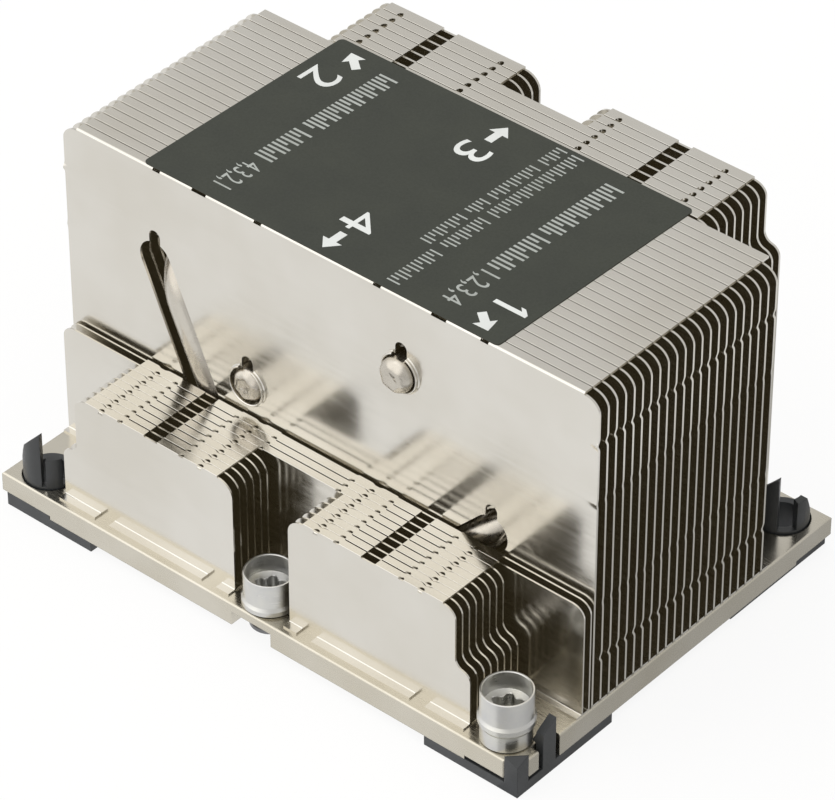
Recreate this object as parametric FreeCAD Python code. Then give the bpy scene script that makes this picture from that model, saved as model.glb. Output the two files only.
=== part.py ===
import FreeCAD, Part

import math
import os

from FreeCAD import Vector

# Passive heatsink for a server processor: a grooved base plate, a tall stack of long fins with a
# shorter stack beyond it, a low stack in front of it, four bent heat pipes, four captive nuts with
# star sockets, a label and the plastic carrier that holds the processor under the plate.
#
# Frame: origin at the centre of the contact face, which stands down from the plate inside the
# carrier's window, +X along the fins, +Y from the low stack to the shorter tall stack, +Z up.
# Sizes in millimetres, angles in degrees from +X.

# ---- base plate ----
BASE_PAST_FINS = 0.2         # plate past the long fins at each end
BASE_Y = 78.0
BASE_TOP = 4.5
BASE_UNDERSIDE = 0.3         # round the contact face, which stands down to height 0
CONTACT_IN = 0.6             # contact face, in from the carrier's window
BASE_EDGE_ROUND = 0.35
CORNER_PAD_X = 10.5          # the four thinner corners, measured in from the plate's edges
CORNER_PAD_Y = 9.0
CORNER_UNDERSIDE = 1.0       # height of the thinner corners' underside
GROOVE_GAP = 0.05            # solder film around a pipe

# ---- nuts ----
NUT_FROM_END = 6.0           # nuts 1 and 2 stand at opposite corners, 3 and 4 at mid width
NUT_Y = 34.4
NUT_BODY_R = 4.2
NUT_COLLAR_R = 4.55
NUT_COLLAR_H = 1.6
NUT_HEAD_H = 4.5             # from the collar to the rim
NUT_DRUM_H = 3.3             # extra drum under the collar of the two corner nuts
NUT_SHANK_R = 2.9
NUT_BOTTOM = 0.2
NUT_SEAT_GAP = 0.1           # the nuts float on the plate
NUT_RUNNING_GAP = 0.05
NUT_RIM_WALL = 0.4
NUT_WELL_DEPTH = 3.3
NUT_CHAMFER = 0.3
SOCKET_LOBES = 6
SOCKET_DEPTH = 3.2
SOCKET_TIP_R = 2.8
SOCKET_VALLEY_R = 2.05
SOCKET_TURN_R = 2.5          # where a lobe meets the hollow beside it
SOCKET_TURN_DEG = 13.0
THREAD_R = 1.65
FLANGE_T = 1.6               # plate left under each nut
FLANGE_RECESS_R = 4.1        # recess under the plate for the retaining ring
RING_R = 3.4
RING_H = 0.7
RING_LIFT = 0.3              # ring above the nut's lower end
RING_GROOVE_R = 2.6
RING_GAP = 0.02

# ---- fins ----
TALL_TOP = 64.0
TALL_T = 0.4
TALL_PITCH = 2.0
TALL_COUNT = 22
TALL_FIRST_Y = -21.5
TALL_HALF_X = 53.8
TALL_CORNER_R = 2.9
FAR_COUNT = 8
FAR_SPLIT_FROM = 4           # rows after this one are split for the tool
FAR_CORNER_R = 2.5
FAR_FROM_NUT = 5.6           # from a nut's centre to a row's foot
FAR_STEP_IN = 3.1            # each row is that much shorter above its end step
FAR_STEP_DROP = (8.9, 12.6)  # end step's top and bottom, down from the row's top
LOW_TOP = 26.0
LOW_T = 0.3
LOW_PITCH = 1.58
LOW_COUNT = 10
LOW_SPLIT_TO = 6             # rows up to this one are split for the tool
LOW_SHORT_TO = 8             # rows up to this one are short, the rest are long
LOW_TO_TALL = 0.57           # from the last low fin to the first tall one
LOW_CORNER_R = 2.4
LOW_FROM_NUT = 5.7
LOW_STEP_IN = 3.0
LOW_STEP_DROP = (9.7, 13.3)
TOOL_HALF_X = 5.75           # half width of the slot left for the tool at mid length

# ---- flanges folded from the fins ----
FOLD_GAP = 0.05              # between a flange and the next fin
TALL_WINDOW_X = 24.0
TALL_WINDOW_W = 3.0
LOW_WINDOW_X = 22.3
LOW_WINDOW_W = 2.7
LOCK_INNER_X = 12.0          # interlocking tabs, both sides of the middle
LOCK_FROM_END = 6.4
LOCK_W = 2.2
LOCK_OUT = 0.45
LOCK_DROP = 0.9
LOCK_GAP = 0.12
DOT_R = 0.5
SLIT_INNER_X = 16.0          # stretch of a low flange that stands back from the next fin
SLIT_FROM_END = 10.3
SLIT_W = 0.22
FOOT_FRONT_W = 1.5           # outward foot of the first low fin; the others stop at the next fin
FOOT_BEND_R = 0.9
FOOT_BREAK_INNER_X = 9.95
FOOT_BREAK_FROM_END = 6.3
FOOT_BREAK_W = 3.0
BUMP_Z = (13.5, 55.5)        # spacer bumps near both ends of the tall fins
BUMP_H = 2.4
BUMP_OUT = 0.5
BUMP_LONG = 2.2

# ---- heat pipes ----
PIPE_R = 3.0
HOLE_R = 3.25
KEY_W = 2.3                  # notch over each pipe hole
KEY_TOP = 5.5                # from the hole's centre to the notch's top
PIPE_BEND_R = 9.0
PIPE_FOOT_Z = 4.0
FRONT_LEG_Y = -18.4
BACK_LEG_Y = 24.5
SLOT_FLARE = 0.6             # how much wider a leg's slot is at its foot
SLOT_MARGIN = 0.3
UPPER_END_Y = 38.4           # free ends of pipes a and d past the last fin
BASE_END_Y = 19.0            # free ends of the legs in the plate
TIP_LONG = 1.2
TIP_R = 1.9
PIPE_A_FROM_END = 4.5        # upper runs of the outer pipes, in from the low rows' ends
PIPE_D_FROM_END = 5.6
PIPE_INNER_X = 15.8

# ---- label ----
LABEL_FROM_END = 3.5         # short of the low rows' ends
LABEL_Y = (-21.2, 24.4)
LABEL_T = 0.15
LABEL_CORNER_R = 1.8

# ---- carrier ----
CARRIER_BOTTOM = -1.5
CARRIER_FRAME_IN = 5.0       # frame's ends, in from the plate's
CARRIER_ARM_IN = 18.5        # start of the longer arms
CARRIER_LUG_IN = 19.5        # start of the shorter arms
CARRIER_ARM_Y = 16.4
CARRIER_LUG_Y = 14.5
CARRIER_FRAME_Y = 29.8
WINDOW_X = 34.0
WINDOW_Y = 24.0
CARRIER_HOLE_R = 4.0         # room for a nut's stud and ring
CARRIER_GAP = 0.15
PRONG_Y = 33.9               # centre of the two pronged corners' round holes
PRONG_R = 4.4
PRONG_GAP = 0.25
PRONG_WALL = 1.3
PRONG_TALL_TOP = 15.2
PRONG_TALL_FALL = ((-5.4, 10.2), (-3.1, 7.7), (-1.5, 3.2), (1.5, 0.0))   # offset in x, drop
PRONG_SHORT_TOP = 10.4
PRONG_SHORT_FALL = ((0.4, 0.0), (2.8, 5.4))  # offset in y, drop
PRONG_RIM = 5.0
PRONG_TALL_DEG = (200.0, 296.0)
PRONG_FRONT_SHORT_DEG = (306.0, 342.0)
PRONG_BACK_SHORT_DEG = (338.0, 398.0)
LATCH_Y = (-33.0, -30.0)
LATCH_T = 1.4
LATCH_TOP = (7.0, 8.8)       # top at its two sides
LATCH_NIB = 0.7
LATCH_NIB_H = 2.0
LATCH_CUT = 0.9              # plate cut back beside the latch
LATCH_SIDE_GAP = 1.0
POST_LEG = 2.6               # corner post, a right-angled prism
POST_TOP = 4.4
POST_RISE = 1.1

# ---- values that follow ----
HALF_X = TALL_HALF_X + BASE_PAST_FINS
HALF_Y = BASE_Y / 2
NUT_CORNER_X = HALF_X - NUT_FROM_END
FAR_FOOT_HALF_X = NUT_CORNER_X - FAR_FROM_NUT
FAR_HALF_X = FAR_FOOT_HALF_X - FAR_STEP_IN
LOW_FOOT_HALF_X = NUT_CORNER_X - LOW_FROM_NUT
LOW_HALF_X = LOW_FOOT_HALF_X - LOW_STEP_IN
FAR_STEP_TOP, FAR_STEP_BOTTOM = (TALL_TOP - drop for drop in FAR_STEP_DROP)
LOW_STEP_TOP, LOW_STEP_BOTTOM = (LOW_TOP - drop for drop in LOW_STEP_DROP)
LOCK_X = (LOCK_INNER_X, LOW_HALF_X - LOCK_FROM_END)
SLIT_X = (SLIT_INNER_X, LOW_HALF_X - SLIT_FROM_END)
FOOT_BREAKS_X = (FOOT_BREAK_INNER_X, LOW_HALF_X - FOOT_BREAK_FROM_END)
LABEL_HALF_X = LOW_HALF_X - LABEL_FROM_END
CARRIER_FRAME_X = HALF_X - CARRIER_FRAME_IN
CONTACT_X = WINDOW_X - CONTACT_IN
CONTACT_Y = WINDOW_Y - CONTACT_IN
FAR_FIRST_Y = TALL_FIRST_Y + TALL_COUNT * TALL_PITCH
LOW_FIRST_Y = TALL_FIRST_Y - LOW_TO_TALL - (LOW_COUNT - 1) * LOW_PITCH
FLANGE_UNDERSIDE = BASE_TOP - FLANGE_T
UP = Vector(0, 0, 1)
ALONG_Y = Vector(0, 1, 0)
# name: (upper x, upper z, base x, leg y, free end y of the upper run)
PIPES = {
    "heat_pipe_a": (PIPE_A_FROM_END - LOW_HALF_X, 46.5, -16.0, FRONT_LEG_Y, UPPER_END_Y),
    "heat_pipe_b": (-PIPE_INNER_X, 31.4, -3.5, BACK_LEG_Y, TALL_FIRST_Y - 0.9),
    "heat_pipe_c": (PIPE_INNER_X, 50.0, 3.5, BACK_LEG_Y, TALL_FIRST_Y - 2.4),
    "heat_pipe_d": (LOW_HALF_X - PIPE_D_FROM_END, 28.2, 10.5, FRONT_LEG_Y, UPPER_END_Y),
}
NUTS = {
    1: (NUT_CORNER_X, -NUT_Y, NUT_DRUM_H),
    2: (-NUT_CORNER_X, NUT_Y, NUT_DRUM_H),
    3: (0.0, NUT_Y, 0.0),
    4: (0.0, -NUT_Y, 0.0),
}
PRONG_CORNERS = (
    (-NUT_CORNER_X, -PRONG_Y, PRONG_FRONT_SHORT_DEG),
    (NUT_CORNER_X, PRONG_Y, PRONG_BACK_SHORT_DEG),
)


# ---- small helpers ----
def block(x0, x1, y0, y1, z0, z1):
    """A box between two corners."""
    return Part.makeBox(x1 - x0, y1 - y0, z1 - z0, Vector(x0, y0, z0))


def rod(x, y, z0, z1, radius):
    """An upright cylinder."""
    return Part.makeCylinder(radius, z1 - z0, Vector(x, y, z0), UP)


def line(a, b):
    """A straight edge."""
    return Part.LineSegment(a, b).toShape()


def arc(a, middle, b):
    """A round edge through three points."""
    return Part.Arc(a, middle, b).toShape()


def face_of(edges):
    """The flat face inside a closed run of edges."""
    return Part.Face(Part.Wire(Part.__sortEdges__(edges)))


def polygon(points):
    """The flat face inside a closed run of straight lines."""
    return Part.Face(Part.makePolygon(points + points[:1]))


def joined(solids):
    """Solids fused into one, with the seams between flat faces removed."""
    first, rest = solids[0], solids[1:]
    return first.fuse(rest).removeSplitter() if rest else first


def write(name, shape):
    """One STEP file for one named piece."""
    shape.exportStep("parts/%s.step" % name)


# ---- heat pipes ----
def pipe_places(name):
    """Upper centre, base centre and unit direction of a pipe's leg, all across the fins."""
    upper_x, upper_z, base_x, leg_y, end_y = PIPES[name]
    upper = Vector(upper_x, 0, upper_z)
    foot = Vector(base_x, 0, PIPE_FOOT_Z)
    lean = (foot - upper).normalize()
    return upper, foot, lean


def pipe_path(name):
    """Centre line: along the fins' holes, down a leaning leg and back along the plate."""
    upper, foot, lean = pipe_places(name)
    leg_y, end_y = PIPES[name][3:]
    inward = -1 if leg_y > 0 else 1
    diagonal = PIPE_BEND_R * (1 - math.sqrt(0.5))

    def at(base, along, y):
        return base + lean * along + ALONG_Y * y

    bend_y = leg_y + inward * PIPE_BEND_R
    tips = tip_places(name)
    upper_bend = (at(upper, 0, bend_y), at(upper, diagonal, leg_y + inward * diagonal),
                  at(upper, PIPE_BEND_R, leg_y))
    foot_bend = (at(foot, -PIPE_BEND_R, leg_y), at(foot, -diagonal, leg_y + inward * diagonal),
                 at(foot, 0, bend_y))
    return Part.Wire([
        line(tips[0], upper_bend[0]),
        arc(*upper_bend),
        line(upper_bend[2], foot_bend[0]),
        arc(*foot_bend),
        line(foot_bend[2], tips[1]),
    ])


def tip_places(name):
    """Where the round section stops at the pipe's two free ends."""
    upper, foot, lean = pipe_places(name)
    leg_y, end_y = PIPES[name][3:]
    outward = 1 if end_y > leg_y else -1
    upper_tip = upper + ALONG_Y * (end_y - outward * TIP_LONG)
    foot_tip = foot + ALONG_Y * (outward * BASE_END_Y)
    return upper_tip, foot_tip, outward


def pipe_tube(name, radius):
    """The pipe's round section swept along its centre line."""
    path = pipe_path(name)
    start = path.OrderedVertexes[0].Point
    circle = Part.Wire(Part.makeCircle(radius, start, ALONG_Y))
    return path.makePipeShell([circle], True, False)


def heat_pipe(name):
    """A pipe with both ends swaged to a blunt tip."""
    upper_tip, foot_tip, outward = tip_places(name)
    out = ALONG_Y * outward
    tips = [Part.makeCone(PIPE_R, TIP_R, TIP_LONG, place, out) for place in (upper_tip, foot_tip)]
    return joined([pipe_tube(name, PIPE_R)] + tips)


def keyhole_cut(name, y0, y1):
    """Round hole with a narrow notch over it, through every fin between two places."""
    upper = pipe_places(name)[0]
    hole = Part.makeCylinder(HOLE_R, y1 - y0, upper + ALONG_Y * y0, ALONG_Y)
    notch = block(upper.x - KEY_W / 2, upper.x + KEY_W / 2, y0, y1,
                  upper.z, upper.z + KEY_TOP - KEY_W / 2)
    top = Part.makeCylinder(KEY_W / 2, y1 - y0,
                            Vector(upper.x, y0, upper.z + KEY_TOP - KEY_W / 2), ALONG_Y)
    return joined([hole, notch, top])


def leg_slot_cut(name):
    """Leaning slot that lets the fins slide over a leg, wider on its outer side at the foot."""
    upper, foot, lean = pipe_places(name)
    leg_y = PIPES[name][3]
    side = -1 if upper.x < 0 else 1
    outward = Vector(-lean.z, 0, lean.x)
    if outward.x * side < 0:
        outward = outward * -1
    below = foot + lean * PIPE_R
    corners = [
        upper + outward * HOLE_R,
        upper - outward * HOLE_R,
        below - outward * HOLE_R,
        below + outward * (HOLE_R + SLOT_FLARE),
    ]
    outer_face = abs(leg_y) + PIPE_R + SLOT_MARGIN
    inner_face = abs(leg_y) - PIPE_BEND_R
    turn = -1 if leg_y < 0 else 1
    y0, y1 = sorted((turn * outer_face, turn * inner_face))
    slot = polygon([corner + ALONG_Y * y0 for corner in corners]).extrude(ALONG_Y * (y1 - y0))
    round_end = Part.makeCylinder(HOLE_R, y1 - y0, upper + ALONG_Y * y0, ALONG_Y)
    return joined([slot, round_end])


def base_leg_cut(name, y0, y1):
    """Half-round notch in the fins' lower edges over a leg that lies in the plate."""
    foot = pipe_places(name)[1]
    return Part.makeCylinder(HOLE_R, y1 - y0, foot + ALONG_Y * y0, ALONG_Y)


def fin_cuts(names_through, y0, y1, with_base_legs):
    """Everything that the pipes take out of the fins between two places."""
    cuts = [keyhole_cut(name, y0, y1) for name in names_through]
    cuts += [leg_slot_cut(name) for name in PIPES]
    if with_base_legs:
        cuts += [base_leg_cut(name, y0, y1) for name in PIPES]
    return cuts


# ---- fins ----
def end_edges(side, y, foot_x, head_x, step_top, step_bottom, top, corner_r):
    """Edges of one end of a fin, from its foot up to where its top edge starts."""
    def at(x, z):
        return Vector(side * x, y, z)

    edges = []
    if foot_x > head_x:
        across, down = foot_x - head_x, step_top - step_bottom
        bend_r = (across ** 2 + down ** 2) / (4 * across)
        middle = at((foot_x + head_x) / 2, (step_top + step_bottom) / 2)
        half_turn = math.asin(down / 2 / bend_r) / 2
        rise, run = bend_r * math.sin(half_turn), bend_r * (1 - math.cos(half_turn))
        edges.append(line(at(foot_x, BASE_TOP), at(foot_x, step_bottom)))
        edges.append(arc(at(foot_x, step_bottom), at(foot_x - run, step_bottom + rise), middle))
        edges.append(arc(middle, at(head_x + run, step_top - rise), at(head_x, step_top)))
        edges.append(line(at(head_x, step_top), at(head_x, top - corner_r)))
    else:
        edges.append(line(at(head_x, BASE_TOP), at(head_x, top - corner_r)))
    inset = corner_r * (1 - math.sqrt(0.5))
    edges.append(arc(at(head_x, top - corner_r), at(head_x - inset, top - inset),
                     at(head_x - corner_r, top)))
    return edges


def inner_edges(side, y, inner_x, top, corner_r):
    """Edges beside the tool slot, from the foot up to where the top edge starts."""
    def at(x, z):
        return Vector(side * x, y, z)

    inset = corner_r * (1 - math.sqrt(0.5))
    return [
        line(at(inner_x, BASE_TOP), at(inner_x, top - corner_r)),
        arc(at(inner_x, top - corner_r), at(inner_x + inset, top - inset),
            at(inner_x + corner_r, top)),
    ]


def plate_of(left, right, thickness):
    """The flat sheet between two runs of end edges, each going from the foot to the top."""
    def ends(edges):
        return edges[0].Vertexes[0].Point, edges[-1].Vertexes[1].Point

    left_foot, left_top = ends(left)
    right_foot, right_top = ends(right)
    outline = left + right + [line(left_top, right_top), line(left_foot, right_foot)]
    return face_of(outline).extrude(ALONG_Y * thickness)


def stretches(x0, x1, breaks):
    """What is left of a length between x0 and x1 once the (centre, width) breaks are taken out."""
    cuts = sorted((centre - width / 2, centre + width / 2) for centre, width in breaks)
    spans, start = [], x0
    for low, high in cuts:
        if high <= start or low >= x1:
            continue
        if low > start:
            spans.append((start, low))
        start = high
    if start < x1:
        spans.append((start, x1))
    return spans


def both_sides(centre, width):
    """One break on each side of the middle."""
    return [(-centre, width), (centre, width)]


def top_flange(x0, x1, y, width, thickness, top, window, lock):
    """Top edge folded towards +Y, with windows and, where it locks, slits, dots and notches."""
    window_x, window_w = window
    spans = stretches(x0, x1, both_sides(window_x, window_w))
    pieces = [block(a, b, y, y + width, top - thickness, top) for a, b in spans]
    flange = Part.makeCompound(pieces)
    if not lock:
        return flange
    edge = y + width
    cuts = []
    for lock_x in LOCK_X:
        for side in (-1, 1):
            centre = side * lock_x
            cuts.append(block(centre - LOCK_W / 2 - LOCK_GAP, centre + LOCK_W / 2 + LOCK_GAP,
                              edge - LOCK_OUT, edge + 1, top - thickness - 1, top + 1))
    return flange.cut(cuts)


def slit_cuts(y_edge, top, middle):
    """Where a low flange stands back from the next fin, with a round dot at each end."""
    near, far = SLIT_X
    spans = [(-far, -near), (near, far)]
    if middle:
        spans.append((-TOOL_HALF_X - 2, TOOL_HALF_X + 2))
    cuts = []
    for a, b in spans:
        cuts.append(block(a, b, y_edge - SLIT_W, y_edge + 1, top - 1, top + 1))
        cuts += [rod(x, y_edge, top - 1, top + 1, DOT_R) for x in (a, b)]
    return cuts


def lock_tabs(x0, x1, y, top):
    """Tabs bent out of the top edge towards -Y, into the notches of the fin before."""
    tabs = []
    for lock_x in LOCK_X:
        for side in (-1, 1):
            centre = side * lock_x
            if x0 < centre < x1:
                tabs.append(block(centre - LOCK_W / 2, centre + LOCK_W / 2,
                                  y - LOCK_OUT + FOLD_GAP, y, top - LOCK_DROP, top))
    return tabs


def foot_flange(x0, x1, y, width, thickness, breaks):
    """Lower edge folded flat on the plate, towards +Y for a positive width."""
    y0, y1 = sorted((y, y + width))
    return [block(a, b, y0, y1, BASE_TOP, BASE_TOP + thickness)
            for a, b in stretches(x0, x1, breaks)]


def bent_foot(x0, x1, y, width, thickness):
    """A low fin's foot: sheet bent outwards through a quarter turn and laid on the plate."""
    def at(dy, dz):
        return Vector(x0, y + dy, BASE_TOP + dz)

    outer = FOOT_BEND_R
    inner = outer - thickness
    inset_out, inset_in = outer * (1 - math.sqrt(0.5)), inner * (1 - math.sqrt(0.5))
    section = face_of([
        line(at(0, 0), at(-width, 0)),
        line(at(-width, 0), at(-width, thickness)),
        line(at(-width, thickness), at(-inner, thickness)),
        arc(at(-inner, thickness), at(-inset_in, thickness + inset_in), at(0, thickness + inner)),
        line(at(0, thickness + inner), at(0, 0)),
    ])
    return section.extrude(Vector(x1 - x0, 0, 0))


def spacer_bumps(y, half_x, lowest_z):
    """Small wedges pressed out of a tall fin towards -Y near both ends, above a height."""
    bumps = []
    for z in [z for z in BUMP_Z if z > lowest_z]:
        for side in (-1, 1):
            x_end = side * half_x
            wedge = polygon([
                Vector(x_end, y, z - BUMP_H / 2),
                Vector(x_end, y - BUMP_OUT, z),
                Vector(x_end, y, z + BUMP_H / 2),
            ])
            bumps.append(wedge.extrude(Vector(-side * BUMP_LONG, 0, 0)))
    return bumps


def cleaned(shape, cuts):
    """A fin less the cuts that reach it, as one solid."""
    reaching = [cut for cut in cuts if shape.BoundBox.intersect(cut.BoundBox)]
    result = shape.cut(reaching) if reaching else shape
    return max(result.Solids, key=lambda solid: solid.Volume)


def tall_fin(index, cuts):
    """One of the long fins over the middle of the plate."""
    y = TALL_FIRST_Y + index * TALL_PITCH
    ends = [end_edges(side, y, TALL_HALF_X, TALL_HALF_X, 0, 0, TALL_TOP, TALL_CORNER_R)
            for side in (-1, 1)]
    reach = TALL_HALF_X - TALL_CORNER_R
    width = TALL_PITCH - FOLD_GAP
    window = (TALL_WINDOW_X, TALL_WINDOW_W)
    parts = [plate_of(ends[0], ends[1], TALL_T)]
    parts += top_flange(-reach, reach, y, width, TALL_T, TALL_TOP, window, False).Solids
    parts += foot_flange(-TALL_HALF_X, TALL_HALF_X, y, width, TALL_T, [])
    parts += spacer_bumps(y, TALL_HALF_X, LOW_TOP if index == 0 else 0)
    return cleaned(joined(parts), cuts)


def far_fin(index, cuts):
    """One row of the shorter stack: a whole fin, or two halves beside the tool slot."""
    y = FAR_FIRST_Y + index * TALL_PITCH
    last = index == FAR_COUNT - 1
    width = TALL_PITCH - FOLD_GAP
    window = (TALL_WINDOW_X, TALL_WINDOW_W)
    ends = [end_edges(side, y, FAR_FOOT_HALF_X, FAR_HALF_X, FAR_STEP_TOP, FAR_STEP_BOTTOM,
                      TALL_TOP, FAR_CORNER_R) for side in (-1, 1)]
    reach = FAR_HALF_X - FAR_CORNER_R
    if index < FAR_SPLIT_FROM:
        spans = [(-reach, reach)]
        plates = [plate_of(ends[0], ends[1], TALL_T)]
    else:
        inner = TOOL_HALF_X + FAR_CORNER_R
        spans = [(-reach, -inner), (inner, reach)]
        plates = [plate_of(edges, inner_edges(side, y, TOOL_HALF_X, TALL_TOP, FAR_CORNER_R), TALL_T)
                  for side, edges in ((-1, ends[0]), (1, ends[1]))]
    foot_spans = stretches(-FAR_FOOT_HALF_X, FAR_FOOT_HALF_X, [(0, 2 * TOOL_HALF_X)])
    fins = []
    for plate, (x0, x1) in zip(plates, spans):
        parts = [plate]
        if not last:
            parts += top_flange(x0, x1, y, width, TALL_T, TALL_TOP, window, True).Solids
        if index > 0:
            parts += lock_tabs(x0, x1, y, TALL_TOP)
        for a, b in foot_spans:
            if plate.BoundBox.XMin <= a and b <= plate.BoundBox.XMax:
                parts += foot_flange(a, b, y, width if not last else FOOT_FRONT_W, TALL_T, [])
        fins.append(cleaned(joined(parts), cuts))
    return fins


def low_fin(index, cuts):
    """One row of the low stack in front of the tall fins."""
    y = LOW_FIRST_Y + index * LOW_PITCH
    width = LOW_PITCH - FOLD_GAP
    window = (LOW_WINDOW_X, LOW_WINDOW_W)
    whole = index >= LOW_SPLIT_TO
    long = index >= LOW_SHORT_TO
    foot_w = FOOT_FRONT_W if index == 0 else LOW_PITCH - LOW_T - FOLD_GAP
    last = index == LOW_COUNT - 1
    foot_x = TALL_HALF_X if long else LOW_FOOT_HALF_X
    head_x = TALL_HALF_X if long else LOW_HALF_X
    ends = [end_edges(side, y, foot_x, head_x, LOW_STEP_TOP, LOW_STEP_BOTTOM, LOW_TOP, LOW_CORNER_R)
            for side in (-1, 1)]
    reach = LOW_HALF_X - LOW_CORNER_R
    if whole:
        spans = [(-reach, reach)]
        plates = [plate_of(ends[0], ends[1], LOW_T)]
    else:
        inner = TOOL_HALF_X + LOW_CORNER_R
        spans = [(-reach, -inner), (inner, reach)]
        plates = [plate_of(edges, inner_edges(side, y, TOOL_HALF_X, LOW_TOP, LOW_CORNER_R), LOW_T)
                  for side, edges in ((-1, ends[0]), (1, ends[1]))]
    breaks = [(0, 2 * TOOL_HALF_X)]
    for centre in FOOT_BREAKS_X:
        breaks += both_sides(centre, FOOT_BREAK_W)
    fins = []
    for plate, (x0, x1) in zip(plates, spans):
        box = plate.BoundBox
        parts = [plate]
        if not last:
            flange = top_flange(x0, x1, y, width, LOW_T, LOW_TOP, window, True)
            parts += flange.cut(slit_cuts(y + width, LOW_TOP, whole)).Solids
        parts += lock_tabs(x0, x1, y, LOW_TOP)
        for a, b in stretches(box.XMin, box.XMax, breaks):
            parts.append(bent_foot(a, b, y, foot_w, LOW_T))
        fins.append(cleaned(joined(parts), cuts))
    return fins


# ---- base plate ----
def base_plate():
    """Grooved plate with thinner corners, nut holes, pronged corner holes and a latch notch."""
    plate = block(-HALF_X, HALF_X, -HALF_Y, HALF_Y, BASE_UNDERSIDE, BASE_TOP)
    rim = [edge for edge in plate.Edges if edge.BoundBox.ZMin > BASE_TOP - 0.01]
    plate = plate.makeFillet(BASE_EDGE_ROUND, rim)
    plate = plate.fuse(block(-CONTACT_X, CONTACT_X, -CONTACT_Y, CONTACT_Y, 0, BASE_UNDERSIDE))
    cuts = []
    for sx in (-1, 1):
        for sy in (-1, 1):
            x0, x1 = sorted((sx * (HALF_X - CORNER_PAD_X), sx * (HALF_X + 1)))
            y0, y1 = sorted((sy * (HALF_Y - CORNER_PAD_Y), sy * (HALF_Y + 1)))
            cuts.append(block(x0, x1, y0, y1, -1, CORNER_UNDERSIDE))
    for x, y, drum in NUTS.values():
        cuts.append(rod(x, y, -1, BASE_TOP + 1, NUT_SHANK_R + NUT_RUNNING_GAP))
        cuts.append(rod(x, y, -1, FLANGE_UNDERSIDE, FLANGE_RECESS_R))
        if drum == 0:
            y0, y1 = sorted((y, math.copysign(HALF_Y + 1, y)))
            cuts.append(block(x - FLANGE_RECESS_R, x + FLANGE_RECESS_R, y0, y1,
                              -1, FLANGE_UNDERSIDE))
    for x, y, short_deg in PRONG_CORNERS:
        cuts.append(rod(x, y, -1, BASE_TOP + 1, PRONG_R + PRONG_GAP))
    for turn in (1, -1):
        cuts += [half_turned(cut, turn) for cut in (latch_notch(), post_notch())]
    for name in PIPES:
        upper_tip, foot_tip, outward = tip_places(name)
        cuts.append(pipe_tube(name, PIPE_R + GROOVE_GAP))
        cuts.append(Part.makeCylinder(PIPE_R + GROOVE_GAP, TIP_LONG + GROOVE_GAP, foot_tip,
                                      ALONG_Y * outward))
    return plate.cut(cuts)


def half_turned(shape, turn):
    """The shape itself, or a copy turned by half a turn about Z."""
    copy = shape.copy()
    if turn < 0:
        copy.rotate(Vector(0, 0, 0), UP, 180)
    return copy


def latch_notch():
    """Where the plate's edge is cut back for a latch."""
    return block(HALF_X - LATCH_T - CARRIER_GAP, HALF_X + 1, LATCH_Y[0] - LATCH_SIDE_GAP,
                 LATCH_Y[1] + LATCH_SIDE_GAP, -1, BASE_TOP + 1)


def post_notch():
    """Where the plate's corner is cut off for a corner post."""
    leg = POST_LEG + CARRIER_GAP * 2
    corner = polygon([
        Vector(HALF_X + 1, -HALF_Y - 1, -1),
        Vector(HALF_X - leg - 1, -HALF_Y - 1, -1),
        Vector(HALF_X - leg, -HALF_Y, -1),
        Vector(HALF_X, -HALF_Y + leg, -1),
        Vector(HALF_X + 1, -HALF_Y + leg, -1),
    ])
    return corner.extrude(UP * (BASE_TOP + 2))


# ---- nuts ----
def star_face(x, y, z):
    """Six-lobed opening: round lobes joined by round hollows."""
    def at(radius, degrees):
        angle = math.radians(degrees)
        return Vector(x + radius * math.cos(angle), y + radius * math.sin(angle), z)

    pitch = 360 / SOCKET_LOBES
    edges = []
    for lobe in range(SOCKET_LOBES):
        tip = pitch * lobe
        before = at(SOCKET_TURN_R, tip - SOCKET_TURN_DEG)
        after = at(SOCKET_TURN_R, tip + SOCKET_TURN_DEG)
        edges.append(arc(before, at(SOCKET_TIP_R, tip), after))
        edges.append(arc(after, at(SOCKET_VALLEY_R, tip + pitch / 2),
                         at(SOCKET_TURN_R, tip + pitch - SOCKET_TURN_DEG)))
    return face_of(edges)


def captive_nut(x, y, drum):
    """Turned nut: shank through the plate, collar, head with a well and a star socket."""
    seat = BASE_TOP + NUT_SEAT_GAP
    collar = seat + drum
    head = collar + NUT_COLLAR_H
    rim = head + NUT_HEAD_H
    well_floor = rim - NUT_WELL_DEPTH
    socket_floor = well_floor - SOCKET_DEPTH
    collar_ring = rod(x, y, collar, head, NUT_COLLAR_R)
    collar_ring = collar_ring.makeChamfer(NUT_CHAMFER, collar_ring.Edges[:1] + collar_ring.Edges[2:])
    solids = [
        rod(x, y, NUT_BOTTOM, collar, NUT_SHANK_R),
        collar_ring,
        rod(x, y, head, rim, NUT_BODY_R),
    ]
    if drum > 0:
        solids.append(rod(x, y, seat, collar, NUT_BODY_R))
    nut = joined(solids)
    ring_z = NUT_BOTTOM + RING_LIFT
    groove = rod(x, y, ring_z, ring_z + RING_H, NUT_SHANK_R + 1)
    groove = groove.cut(rod(x, y, ring_z, ring_z + RING_H, RING_GROOVE_R))
    return nut.cut([
        rod(x, y, well_floor, rim + 1, NUT_BODY_R - NUT_RIM_WALL),
        star_face(x, y, socket_floor).extrude(UP * (SOCKET_DEPTH + 1)),
        rod(x, y, NUT_BOTTOM - 1, socket_floor + 1, THREAD_R),
        groove,
    ])


def retaining_ring(x, y):
    """Flat ring in the groove near a nut's lower end."""
    z = NUT_BOTTOM + RING_LIFT
    ring = rod(x, y, z, z + RING_H, RING_R)
    return ring.cut(rod(x, y, z, z + RING_H, RING_GROOVE_R + RING_GAP))


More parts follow.
